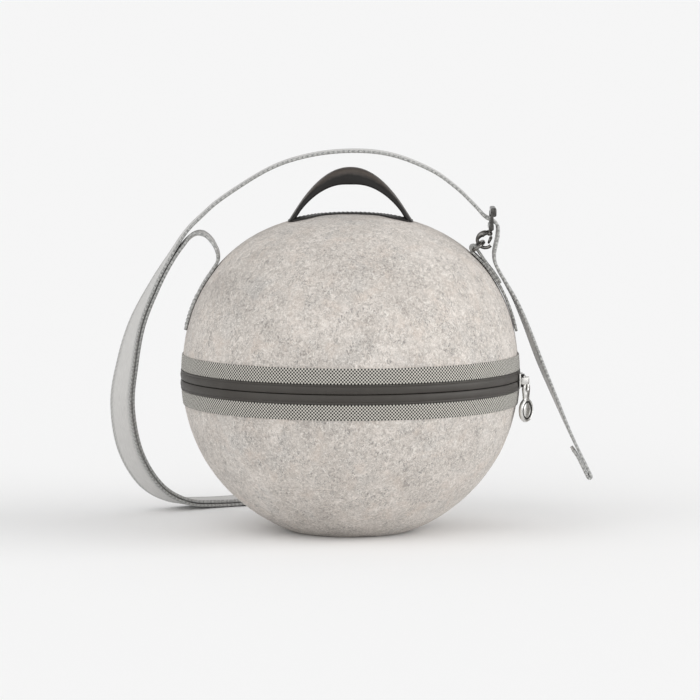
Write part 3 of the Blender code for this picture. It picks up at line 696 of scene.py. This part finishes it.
def felt_push(place):
    """Height of the felt's surface: soft lumps, then tufts."""
    lump = noise.noise(place * 45.0) * 0.16
    tuft = noise.noise(place * 190.0) * 0.09
    fleck = noise.noise(place * 520.0) * 0.05
    return (lump + tuft + fleck) * MM


def add_felt():
    finish = felt_shade()
    for name, side, rise, power in HALVES:
        profile = bowl_profile(FELT_START, 0.0, FELT, side, rise, power, 120)
        mesh = displace(turned(profile, FELT_SPOTS), felt_push)
        add_piece(name + "_felt_skin", mesh, finish, name, "felt", name + "_felt")


def add_inside():
    """The hard shell and the brushed lining of each half."""
    shell, lining = plastic_shade(), lining_shade()
    piping = thread_shade("lining_piping", (0.19, 0.19, 0.195))
    inset = FELT + LAYER_GAP
    for name, side, rise, power in HALVES:
        profile = bowl_profile(SHELL_START, inset, SHELL, side, rise, power, 48)
        mesh = turned(profile, 160)
        add_piece(name + "_moulded_shell", mesh, shell, name, "shell", name + "_shell")
        deep = inset + SHELL + LAYER_GAP
        profile = bowl_profile(1.0 * MM, deep, LINING, side, rise, power, 64)
        inner = profile[-36 if side < 0 else -32 :]
        cords = lining_piping(inner)
        add_piece(name + "_lining_piping", cords, piping, name, "lining", name + "_lining")
        mesh = displace(turned(profile, 200), nap_push)
        add_piece(name + "_soft_lining", mesh, lining, name, "lining", name + "_lining")


def nap_push(place):
    return noise.noise(place * 160.0) * 0.12 * MM


def lining_piping(inner):
    """Three piped seams across a half's lining, over its inner outline from the middle out."""
    seams = []
    for angle in (15.0, 75.0, 135.0):
        out = direction(angle)
        arc = [out * -(r - 0.2 * MM) + Vector((0, 0, z)) for r, z in inner[:0:-1]]
        arc += [out * (r - 0.2 * MM) + Vector((0, 0, z)) for r, z in inner[1:]]
        seams.append(wire(arc, 0.7 * MM, False, 8))
    return merged(seams)


def add_bands():
    """Basket-weave bands: each cell of the weave is a raised pillow in the mesh."""
    finish = weave_shade()
    across, up = WEAVE_COUNT * 2, WEAVE_STEPS_UP
    angles = np.arange(across) * 2 * pi / across
    i, j = np.meshgrid(np.arange(across), np.arange(up + 1), indexing="ij")
    raised, sunk = (i % 2 == 1) & (j % 2 == 1), (i % 2 == 0) & (j % 2 == 0)
    pillow = np.where(raised, 0.1, 0.0) - np.where(sunk, 0.1, 0.0)
    pillow[:, 0] = -0.2
    pillow[:, -1] = -0.2
    along = np.arange(across + 1) * WEAVE_CELL / 2
    around = np.concatenate([np.arange(up + 1) * WEAVE_CELL / 2, np.zeros(5)])
    for name, side, rise, power in HALVES:
        outer = dome_curve(BAND_START, BAND_END, rise, power, -GAP - 0.6 * MM, up + 1)
        inner = dome_curve(BAND_START, BAND_END, rise, power, -GAP * 0.7, 4)[::-1]
        profile = np.array([(r, SEAM + side * h) for r, h in outer + inner])
        radii = np.broadcast_to(profile[:, 0], (across, len(profile))).copy()
        radii[:, : up + 1] += pillow * MM
        mesh = loft(swept(radii, profile[:, 1], angles), along, around, True)
        add_piece(name + "_woven_band", mesh, finish, name, "band_weave", name + "_band")


# One half of the zip tape: (radius, height from the seam) in millimetres, with its crease
TAPE_OUTLINE = (
    (119.9, 0.2), (120.3, 0.24), (120.6, 0.5), (120.8, 1.1), (120.97, 2.1), (121.05, 3.1),
    (121.0, 4.0), (120.88, 4.7), (120.68, 5.15), (120.42, 5.38), (120.42, 5.5), (120.62, 5.72),
    (120.74, 6.1), (120.72, 6.5), (120.5, 6.84), (120.1, 6.9), (119.65, 6.9), (119.62, 5.0),
    (119.62, 3.0), (119.62, 0.6),
)


def add_zip():
    """The coated tapes, the coils behind them and the fabric that joins the halves behind."""
    tape, nylon = tape_shade(), nylon_shade()
    for name, side, rise, power in HALVES:
        profile = [(r * MM, SEAM + side * h * MM) for r, h in TAPE_OUTLINE]
        mesh = turned(profile, 400, 0.0, ZIP_HALF_ARC)
        add_piece(name + "_coated_tape", mesh, tape, name, "coated_tape", name + "_zip_tape")
        mesh = coil_mesh(side)
        add_piece(name + "_nylon_coil", mesh, nylon, name, "zip_coil", name + "_zip_coil")
    half = [(r, h) for r, h in TAPE_OUTLINE if r > 120.0 and h > 0.5]
    lower = [(r, -h) for r, h in half[::-1]]
    outline = lower + half + [(119.7, 6.8), (119.65, 4.0), (119.65, 2.0), (119.65, 0.0)]
    outline += [(119.65, -2.0), (119.65, -4.0), (119.7, -6.8)]
    profile = [(r * MM, SEAM + h * MM) for r, h in outline]
    mesh = turned(profile, 90, 180.0, 180.0 - ZIP_HALF_ARC - 0.4)
    gusset = add_piece("hinge_gusset", mesh, tape, None, "coated_tape", "rear_hinge_fabric")
    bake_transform(gusset)


def coil_mesh(side):
    """One continuous nylon coil round the zip's arc."""
    pitch = 1.5 * MM
    turns = round(radians(2 * ZIP_HALF_ARC) * COIL_MIDDLE / pitch)
    points = []
    for k in range(turns * 8 + 1):
        share = k / (turns * 8)
        out = direction(-ZIP_HALF_ARC + 2 * ZIP_HALF_ARC * share)
        turn = 2 * pi * k / 8
        radius = COIL_MIDDLE + 0.62 * MM * cos(turn)
        height = side * (1.55 + 0.68 * sin(turn)) * MM
        points.append(out * radius + Vector((0, 0, SEAM + height)))
    return wire(points, 0.3 * MM, sides=6)


# ---- zip slider and pull


def slider_frame():
    out = direction(SLIDER_AT)
    return out, direction(SLIDER_AT + 90.0), Vector((0, 0, 1))


def add_slider():
    finish = metal_shade("polished_nickel", (0.78, 0.77, 0.745), 0.2)
    out, along, up = slider_frame()
    axes = (along, out, up)
    seam = Vector((0, 0, SEAM))

    def part(radius, shift, size, bevel):
        centre = out * radius * MM + seam + along * shift[0] * MM + up * shift[1] * MM
        return block(centre, axes, [s * MM for s in size], bevel * MM)

    pieces = [
        part(122.0, (0, 0), (12.0, 1.6, 10.6), 0.7),
        part(124.75, (0, 0), (7.4, 1.0, 6.8), 0.35),
        part(119.0, (0, 0), (4.4, 5.6, 0.36), 0.15),
        part(115.85, (0, 0), (11.0, 1.5, 6.4), 0.5),
    ]
    for side in (-1, 1):
        pieces.append(part(125.1, (side * 4.2, 0), (1.8, 5.2, 5.0), 0.8))
    # Painted shade: a near-black block between the slider's lugs stands for the shadowed gap inside
    # the slider; the same dark metal paints shade in the pull's grooves.
    dark = metal_shade("painted_shade_metal", (0.03, 0.029, 0.028), 0.45)
    shade_block = part(123.5, (0, 0), (8.6, 1.5, 8.8), 0.3)
    add_piece("slider_shade_block", shade_block, dark, "slider", "nickel", "zip_slider")
    pin = out * PIN_RADIUS + seam
    pieces.append(wire([pin - along * 4.9 * MM, pin + along * 4.9 * MM], 0.9 * MM))
    mesh = merged(pieces)
    add_piece("slider_body", mesh, finish, "slider", "nickel", "zip_slider")
    add_pull(finish, dark, pin)


PULL_DROP = 21.2 * MM
PULL_HALF = 1.15 * MM
DISC_RADIUS = 8.5 * MM
PULL_TWIST = 23.0


def add_pull(finish, dark, pin):
    """Slotted stem and a round disc with plain raised rings, turned slightly on its knuckle."""
    pieces = [outward(pull_plate(*pull_outline()))]
    for face in (-1, 1):
        pieces.append(face_ring(face, PULL_HALF * 0.86, 7.6, 0.5))
        pieces.append(face_ring(face, PULL_HALF * 0.86, 4.2, 0.35))
    pieces.append(wire([(-2.9 * MM, 0, 0), (2.9 * MM, 0, 0)], 1.9 * MM))
    mesh = merged(pieces)
    # Painted shade: near-black rings between the raised rings stand for shade in the disc's
    # grooves.
    groove_shade = merged([face_ring(face, PULL_HALF - 0.55 * MM, 5.95, 0.85) for face in (-1, 1)])
    out, along, up = slider_frame()
    for vert in list(mesh.vertices) + list(groove_shade.vertices):
        x, y, z = vert.co
        share = min(1.0, max(0.0, -z / (4.0 * MM)))
        turn = radians(PULL_TWIST) * share * share * (3 - 2 * share)
        side = x * cos(turn) - y * sin(turn)
        front = x * sin(turn) + y * cos(turn)
        vert.co = pin + along * side + out * front + up * z
    add_piece("pull_groove_shade", groove_shade, dark, "pull", "nickel", "zip_pull")
    add_piece("pull_tag", mesh, finish, "pull", "nickel", "zip_pull")


def face_ring(face, height, radius, tall):
    """A plain ring round the tag's disc, on its front (1) or its back (-1)."""
    points = []
    for k in range(64):
        turn = 2 * pi * k / 64
        spot = (radius * MM * sin(turn), radius * MM * cos(turn) - PULL_DROP)
        points.append((spot[0], face * height, spot[1]))
    return wire(points, tall * MM, True, 10)


def pull_outline():
    """Half-outlines of the tag: (half width, drop) of its outside and of its slot."""
    outside, slot = [], []
    for k in range(13):
        turn = pi / 2 * k / 12
        outside.append((2.9 * MM * sin(turn), 1.9 * MM * cos(turn) + 0.1 * MM))
    stem = (
        (2.9, -1.0), (2.95, -2.1), (3.5, -3.0), (4.15, -3.9), (4.4, -5.0), (4.4, -6.4), (4.2, -7.8),
        (3.9, -9.2), (3.6, -10.5), (3.4, -11.6), (3.3, -12.5),
    )
    outside += [(x * MM, z * MM) for x, z in stem]
    start = asin(outside[-1][0] / DISC_RADIUS)
    for k in range(31):
        turn = start + (pi - start) * k / 30
        outside.append((DISC_RADIUS * sin(turn), DISC_RADIUS * cos(turn) - PULL_DROP))
    for k in range(25):
        turn = pi * k / 24
        x, z = 1.15 * MM * sin(turn), 1.15 * MM * cos(turn)
        slot.append((x, z - 3.6 * MM if k < 12 else z - 5.4 * MM))
    return outside, slot


def pull_plate(outside, slot):
    """The tag filled in between its outside and its slot, with rounded edges."""
    bm = bmesh.new()
    outer, hole = (half + [(-x, z) for x, z in half[-2:0:-1]] for half in (outside, slot))
    rims = {1.0: [], -1.0: []}
    for side in (-1, 1):
        edges = []
        for loop, inward in ((outer, 1.0), (hole, -1.0)):
            previous = None
            for shrink, share in ((0.0, 0.45), (0.28, 0.82), (0.6, 1.0)):
                y = side * share * PULL_HALF
                ring = [bm.verts.new((x, y, z)) for x, z in shrunk(loop, shrink * MM * inward)]
                if previous:
                    bridge(bm, previous, ring)
                else:
                    rims[inward].append(ring)
                previous = ring
            edges += [bm.edges.get((previous[k - 1], previous[k])) for k in range(len(previous))]
        bmesh.ops.triangle_fill(bm, edges=edges, use_beauty=True)
    for back, front in rims.values():
        bridge(bm, back, front)
    return mesh_of(bm)


def shrunk(loop, amount):
    """A closed 2-D loop moved inwards by an amount."""
    moved = []
    count = len(loop)
    area = sum(loop[k - 1][0] * loop[k][1] - loop[k][0] * loop[k - 1][1] for k in range(count))
    sign = 1.0 if area > 0 else -1.0
    for k in range(count):
        a, b = Vector(loop[k - 1]), Vector(loop[(k + 1) % count])
        along = (b - a).normalized()
        normal = Vector((-along.y, along.x)) * sign
        spot = Vector(loop[k]) + normal * amount
        moved.append((spot.x, spot.y))
    return moved


def bridge(bm, first, second):
    for k in range(len(first)):
        bm.faces.new((first[k - 1], first[k], second[k], second[k - 1]))


# ---- handle


def lid_point(height, proud, side=1):
    """Point on the lid's middle section (y = 0), proud of the felt, and its outward normal."""
    radius = dome_radius(height, LID_RISE, LID_POWER, 0.0)
    slope_r = (radius / BALL_RADIUS) ** (LID_POWER - 1.0) / BALL_RADIUS
    slope_z = (height / LID_RISE) ** (LID_POWER - 1.0) / LID_RISE
    normal = Vector((side * slope_r, 0.0, slope_z)).normalized()
    return Vector((side * radius, 0.0, SEAM + height)) + normal * proud, normal


def top_point(x, y, proud):
    """Point over the lid's top, proud of the felt."""
    radius = hypot(x, y)
    share = (radius / BALL_RADIUS) ** LID_POWER
    point = lid_point(LID_RISE * (1.0 - share) ** (1.0 / LID_POWER), proud)[0]
    if radius < 0.01 * MM:
        return Vector((x, y, point.z))
    return Vector((x * point.x / radius, y * point.x / radius, point.z))


def handle_height(x):
    share = abs(x) / HANDLE_FOOT_X
    return HANDLE_TOP - (HANDLE_TOP - HANDLE_FOOT_Z) * share**2.06


def grip_section(x):
    """Outline of the grip at x: a bent sheet of leather with rounded edges."""
    fold = (1.0 - min(1.0, abs(x) / HANDLE_FOOT_X) ** 2) ** 2.3
    slope = (handle_height(x + 0.1 * MM) - handle_height(x - 0.1 * MM)) / (0.2 * MM)
    normal = Vector((-slope, 0.0, 1.0)).normalized()
    half = HANDLE_WIDTH / 2 * (1.0 - 0.4 * fold) - HANDLE_WALL / 2
    drop = HANDLE_FOOT + (HANDLE_DEPTH - HANDLE_FOOT) * fold - HANDLE_WALL
    spine = []
    for k in range(25):
        turn = pi / 2 * (k / 12 - 1.0)
        y = half * copysign(abs(sin(turn)) ** 0.66, turn)
        spine.append(Vector((y, -HANDLE_WALL / 2 - drop * (1.0 - abs(cos(turn)) ** 0.66))))
    sides = []
    for k in range(len(spine)):
        ahead, behind = spine[min(k + 1, 24)], spine[max(k - 1, 0)]
        along = (ahead - behind).normalized()
        sides.append(Vector((-along.y, along.x)) * HANDLE_WALL / 2)
    outline = [s + n for s, n in zip(spine, sides)]
    outline += end_cap(spine[-1], sides[-1])
    outline += [s - n for s, n in zip(spine[::-1], sides[::-1])]
    outline += end_cap(spine[0], -sides[0])
    centre = Vector((x, 0.0, handle_height(x)))
    along = Vector((normal.z, 0.0, -normal.x))
    return [centre + Vector((0.0, p.x, 0.0)) + normal * p.y for p in outline], along


def end_cap(spot, normal):
    """Half-round edge of the leather sheet."""
    ahead = Vector((normal.y, -normal.x))
    points = []
    for k in range(1, 6):
        turn = pi * k / 6
        points.append(spot + normal * cos(turn) + ahead * sin(turn))
    return points


def drop_to_patch(start, along):
    low, high = 0.0, 24.0 * MM
    for _ in range(26):
        middle = (low + high) / 2
        spot = start + along * middle
        if spot.z > top_point(spot.x, spot.y, PATCH + GAP).z:
            low = middle
        else:
            high = middle
    return start + along * low


def add_handle():
    reach = HANDLE_FOOT_X * 0.86
    sections = []
    for i in range(113):
        outline, along = grip_section(-reach + 2 * reach * i / 112)
        if i in (0, 112):
            way = -along if i == 0 else along
            foot = [drop_to_patch(point, way) for point in outline]
            legs = [[p.lerp(q, k / 8) for p, q in zip(outline, foot)] for k in range(1, 9)]
            sections += legs[::-1] + [outline] if i == 0 else [outline] + legs
        else:
            sections.append(outline)
    middle = [sum(ring, Vector()) / len(ring) for ring in sections]
    around = lengths(sections[len(sections) // 2], True)
    mesh = loft(sections, lengths(middle), around)
    finish = leather_shade("grip_leather", (0.008, 0.0068, 0.006), (around[4], around[20]))
    add_piece("leather_grip", mesh, finish, "lid", "leather", "handle_grip")
    add_patch()


def patch_half_width(x):
    corner = 7.0 * MM
    over = max(0.0, abs(x) - (PATCH_LENGTH / 2 - corner))
    full = PATCH_WIDTH / 2 - corner + sqrt(max(0.0, corner * corner - over * over))
    share = min(1.0, max(0.0, (abs(x) - 16.0 * MM) / (16.0 * MM)))
    return full * (0.42 + 0.58 * share * share * (3 - 2 * share))


def add_patch():
    """Leather patch under the grip's feet, sewn down all round."""
    rings = []
    top = GAP + PATCH
    edge = ((1.0, GAP + 0.1 * MM), (1.0, top - 0.45 * MM), (0.985, top - 0.12 * MM), (0.955, top))
    levels = list(edge) + [(0.9 - 0.2 * k, top) for k in range(5)]
    levels = levels + [(-a, b) for a, b in levels[::-1]]
    levels += [(-0.9 + 0.3 * k, GAP) for k in range(7)]
    for i in range(97):
        x = PATCH_LENGTH * (i / 96 - 0.5)
        half = patch_half_width(x)
        rings.append([top_point(x, half * a, b) for a, b in levels])
    run = np.linspace(0.0, PATCH_LENGTH, 97)
    mesh = loft(rings, run, lengths(rings[48], True))
    leather = leather_shade("patch_leather", (0.03, 0.027, 0.025))
    add_piece("leather_patch", mesh, leather, "lid", "leather", "handle_patch")
    path = []
    inset = 2.2 * MM
    reach = PATCH_LENGTH / 2 - inset
    for side in (1, -1):
        for k in range(61):
            x = side * reach * cos(pi * k / 60)
            y = side * max(0.0, patch_half_width(x) - inset)
            path.append(top_point(x, y, top))
    thread = thread_shade("dark_thread", (0.03, 0.027, 0.025))
    mesh = stitches(path, [(0, 0, 1)] * len(path), 0.9 * MM, 2.2 * MM, 0.18 * MM)
    add_piece("patch_stitches", mesh, thread, "lid", "leather")


# ---- strap and hardware


def strap_route():
    """The strap from its sewn end, over the top, down, back up, over the ball and to its tail."""
    sewn = [(*lid_point(h * MM, STRAP / 2 - SEWN_SINK, -1)[0], 0.0) for h in SEWN_HEIGHTS]
    fall = metres(STRAP_FALL)
    inner = []
    for row, (centre, _, out) in zip(fall, ribbon_frames(fall)):
        inner.append((*(centre + out * LAYER_PITCH), row[3]))
    floor = inner + metres(STRAP_BIGHT)[::-1] + fall[::-1]
    return sewn + metres(STRAP_RISE) + floor + metres(STRAP_ARCH) + metres(STRAP_TAIL)


def folded_tail():
    """The strap's free end, turned back on itself on the side of the ball."""
    start, end = (Vector(row[:3]) for row in metres(STRAP_TAIL[-2:]))
    along = (end - start).normalized()
    out = Vector((0.0, 1.0, 0.0)).cross(along)
    radius = (STRAP + GAP) / 2
    rows = []
    for k in range(1, 8):
        turn = pi * k / 8
        spot = end + out * radius * (1 - cos(turn)) + along * radius * 1.3 * sin(turn)
        rows.append((*spot, 0.0))
    for back, lift in ((0.0, 0.0), (5.0, 0.0), (10.0, 0.0), (15.0, 0.1), (19.0, 0.5), (22.0, 1.1)):
        spot = end + out * (2 * radius + lift * MM) - along * back * MM
        rows.append((*spot, 0.0))
    return rows


def add_strap():
    face = ((0.5, 0.49, 0.475), (0.66, 0.65, 0.63))
    edge = ((0.19, 0.192, 0.187), (0.5, 0.5, 0.485))
    finish = strap_shade("strap_webbing", *face, *edge)
    route = smooth_route(strap_route(), 1.6 * MM) + smooth_route(folded_tail(), 1.0 * MM)
    mesh = ribbon(ribbon_frames(route), WEB_WIDTH, STRAP)
    strap = add_piece("webbing_strap", mesh, finish, None, "webbing", "shoulder_strap", "strap_end")
    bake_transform(strap)


def ring_bar():
    return lid_point(RING_BAR_HEIGHT, 2 * GAP + TAB_LAYER + GAP + RING_WIRE)[0]


def add_tab():
    """Webbing sewn to the lid, folded round the ring's bar and back onto itself."""
    proud = 2 * GAP + TAB_LAYER / 2
    rows = [(*lid_point(h * MM, proud)[0], 0.0) for h in TAB_HEIGHTS]
    bar = ring_bar()
    for angle in range(231, -1, -21):
        turn = radians(angle)
        spot = Vector((cos(turn), 0.0, sin(turn))) * (RING_WIRE + GAP + TAB_LAYER / 2)
        rows.append((*(bar + spot), 0.0))
    back = proud + TAB_LAYER + GAP
    rows += [(*lid_point(h * MM, back)[0], 0.0) for h in (80.0, 74.0, 67.0)]
    face = ((0.26, 0.265, 0.255), (0.4, 0.405, 0.39))
    edge = ((0.1, 0.1, 0.097), (0.44, 0.44, 0.42))
    finish = strap_shade("tab_webbing", *face, *edge)
    mesh = ribbon(ribbon_frames(smooth_route(rows, 0.9 * MM)), WEB_WIDTH, 1.8 * MM)
    add_piece("webbing_tab", mesh, finish, "lid", "webbing", "right_tab")
    add_strap_stitches()


def add_strap_stitches():
    """Box stitches through the tab and through the strap's sewn end."""
    thread = thread_shade("grey_thread", (0.3, 0.3, 0.29))
    half = WEB_WIDTH / 2 - 3.4 * MM
    for name, side, low, high, proud in (
        ("tab_stitches", 1, 37.0, 64.0, 2 * GAP + TAB_LAYER),
        ("strap_stitches", -1, 38.0, 58.0, STRAP - SEWN_SINK),
    ):
        meshes = []
        corners = [(low, -half), (high, -half), (high, half), (low, half), (low, -half)]
        for (h0, y0), (h1, y1) in zip(corners, corners[1:]):
            path, normals = [], []
            for k in range(13):
                h, y = h0 + (h1 - h0) * k / 12, y0 + (y1 - y0) * k / 12
                point, normal = lid_point(h * MM, proud, side)
                path.append(point + Vector((0.0, y, 0.0)))
                normals.append(normal)
            meshes.append(stitches(path, normals, 0.7 * MM, 2.1 * MM, 0.26 * MM))
        add_piece(name, merged(meshes), thread, "lid", "webbing")


def bow_point(angle, radius=BOW_RADIUS):
    turn = radians(angle)
    x, z = BOW_CENTRE
    return Vector((x + radius * cos(turn), 0.0, z + radius * sin(turn)))


def claw_mesh(angles):
    """The hook's bow: a round wire at its ends that swells to a broad claw in its middle."""
    rings = []
    for angle in angles:
        swell = max(0.0, 1.0 - abs(angle - 115.0) / 60.0) ** 0.7
        thick = BOW_WIRE + 1.1 * MM * swell
        wide = BOW_WIRE + 1.6 * MM * swell
        centre = bow_point(angle, BOW_RADIUS + BOW_WIRE - thick)
        out = (centre - bow_point(0.0, 0.0)).normalized()
        ring = []
        for k in range(24):
            turn = 2 * pi * k / 24
            ring.append(centre + out * cos(turn) * thick + Vector((0, sin(turn) * wide, 0)))
        rings.append(ring)
    return loft(rings, lengths([bow_point(a) for a in angles]), lengths(rings[30], True))


def lathed(axis, profile, sides=32):
    """Turn (radius, z) points about a vertical axis at (x, y)."""
    rings = []
    for k in range(sides):
        turn = 2 * pi * k / sides
        x, y = cos(turn), sin(turn)
        rings.append([(axis[0] + r * x, axis[1] + r * y, z) for r, z in profile])
    radius = max(r for r, z in profile)
    along = np.arange(sides + 1) * 2 * pi * radius / sides
    return loft(rings, along, lengths(profile, True), True)


def add_hardware():
    # The hook and gate share one dark nickel, set lighter than the eye's as a painted reflection
    # for contrast.
    finish = metal_shade("dark_nickel", (0.23, 0.222, 0.212), 0.27)
    bar, top = ring_bar(), Vector((RING_TOP[0], 0.0, RING_TOP[1]))
    rise = top - bar
    half = RING_INNER_WIDTH / 2 + RING_WIRE
    outline = ((-1.0, 0.0), (1.0, 0.0), (1.0, 0.55), (0.6, 1.0), (-0.6, 1.0), (-1.0, 0.55))
    corners = [bar + Vector((0.0, a * half, 0.0)) + rise * u for a, u in outline]
    mesh = wire(rounded_path(corners, 4.0 * MM, 8), RING_WIRE, True)
    add_piece("ring_wire", mesh, finish, "ring", "dark_metal", "d_ring")

    angles = np.linspace(40.0, 314.0, 60)
    collar_low = bow_point(48)[2] - 1.2 * MM
    collar_high = EYE_BOTTOM - GAP
    tall = collar_high - collar_low
    shape = [(0.0, 0.0), (1.3, 0.0), (1.75, 0.12), (1.9, 0.3), (1.9, 0.5), (1.4, 0.6), (1.4, 0.72)]
    shape += [(1.85, 0.8), (1.85, 0.95), (1.5, 1.0), (0.0, 1.0)]
    profile = [(r * MM, collar_low + tall * h) for r, h in shape]
    pieces = [claw_mesh(angles), lathed((SWIVEL_X, 0.0), profile)]
    mesh = merged(pieces)
    add_piece("hook_body", mesh, finish, "hook", "dark_metal", "snap_hook")

    gate_top = Vector((SWIVEL_X + 0.9 * MM, 0.0, collar_low - GATE_WIRE - GAP))
    middle = Vector((BOW_CENTRE[0], 0.0, BOW_CENTRE[1]))
    tip = middle.lerp(bow_point(310), 1.0 - (BOW_WIRE + GATE_WIRE + GAP) / BOW_RADIUS)
    knuckle = Vector((0.0, 2.2 * MM, 0.0))
    bar = [gate_top, gate_top.lerp(tip, 0.55), tip]
    pieces = [wire(bar, [GATE_WIRE * 1.7, GATE_WIRE * 1.5, GATE_WIRE])]
    pieces.append(wire([gate_top - knuckle, gate_top + knuckle], GATE_WIRE * 1.1))
    add_piece("gate_body", merged(pieces), finish, "gate", "dark_metal", "hook_gate")
    # Painted reflection: the eye is the same dark nickel painted darker, for contrast with the
    # hook.
    add_eye(metal_shade("eye_nickel_painted_darker", (0.1, 0.097, 0.092), 0.24))


def add_eye(finish):
    """Cast frame that the strap passes through, deeper at its top."""
    axes = (Vector((1, 0, 0)), Vector((0, 1, 0)), Vector((0, 0, 1)))
    wide = WEB_WIDTH + 6.4 * MM
    top_z, low_z = EYE_TOP - 3.1 * MM, EYE_BOTTOM + 2.2 * MM
    x = 99.6 * MM

    def part(dx, y, z, size, bevel):
        centre = Vector((x + dx * MM, y, z))
        return block(centre, axes, (size[0] * MM, size[1], size[2] * MM), bevel * MM)

    pieces = [
        part(1.6, 0.0, top_z, (4.0, wide, 6.2), 1.5),
        part(0.0, 0.0, low_z, (3.4, wide, 4.4), 1.2),
    ]
    for side in (-1, 1):
        y = side * (wide / 2 - 1.2 * MM)
        pieces.append(part(0.4, y, (top_z + low_z) / 2, (2.2, 2.4 * MM, (top_z - low_z) / MM), 0.7))
    add_piece("eye_frame", merged(pieces), finish, "lid", "dark_metal", "swivel_eye")


def finish_cad_nodes():
    """The zip's two small metal stops keep their CAD shape."""
    metal = metal_shade("stop_metal", (0.5, 0.49, 0.47), 0.3)
    for name in ("zip_stop_left", "zip_stop_right"):
        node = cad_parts[name]
        node.data.materials.clear()
        node.data.materials.append(metal)


# ---- camera, light and floor

VIEW_DISTANCE = 3.0
VIEW_ELEVATION = 5.3
VIEW_TARGET = Vector((-0.36 * MM, 0.0, 128.6 * MM))
PIXEL_AT_TARGET = 0.712 * MM
SENSOR = 36.0
PICTURE_WIDTH = 700.0


def add_camera():
    camera = bpy.data.cameras.new("camera")
    camera.sensor_width = SENSOR
    camera.lens = SENSOR / PICTURE_WIDTH * VIEW_DISTANCE / PIXEL_AT_TARGET
    camera.clip_start, camera.clip_end = 0.1, 300.0
    item = linked("camera", camera)
    tilt = radians(VIEW_ELEVATION)
    back = Vector((0.0, -cos(tilt), sin(tilt)))
    item.location = VIEW_TARGET + back * VIEW_DISTANCE
    item.rotation_euler = (pi / 2 - tilt, 0.0, 0.0)
    bpy.context.scene.camera = item


def add_sun(name, angle, elevation, strength, softness):
    light = bpy.data.lights.new(name, "SUN")
    light.energy = strength
    light.angle = radians(softness)
    rise = radians(elevation)
    toward = direction(angle) * cos(rise) + Vector((0, 0, sin(rise)))
    linked(name, light).rotation_euler = toward.to_track_quat("Z", "Y").to_euler()


def add_surroundings():
    world = bpy.data.worlds.new("studio")
    world.use_nodes = True
    background = world.node_tree.nodes["Background"].inputs
    background["Color"].default_value = (1.0, 1.0, 1.0, 1.0)
    background["Strength"].default_value = 0.66
    bpy.context.scene.world = world
    bpy.context.scene.view_settings.view_transform = "Standard"
    add_sun("key", 76.0, 12.0, 2.0, 60.0)
    add_sun("front_fill", -35.0, 16.0, 1.5, 100.0)
    bm = bmesh.new()
    bmesh.ops.create_grid(bm, x_segments=1, y_segments=1, size=60.0)
    floor = linked("floor", mesh_of(bm))
    paint = Shade("floor_paint", (0.93, 0.93, 0.93), 1.0, specular=0.0)
    floor.data.materials.append(paint.material)


def build():
    add_camera()
    add_strap()
    add_felt()
    add_inside()
    add_bands()
    add_zip()
    add_slider()
    add_handle()
    add_tab()
    add_hardware()
    finish_cad_nodes()
    add_surroundings()


build()
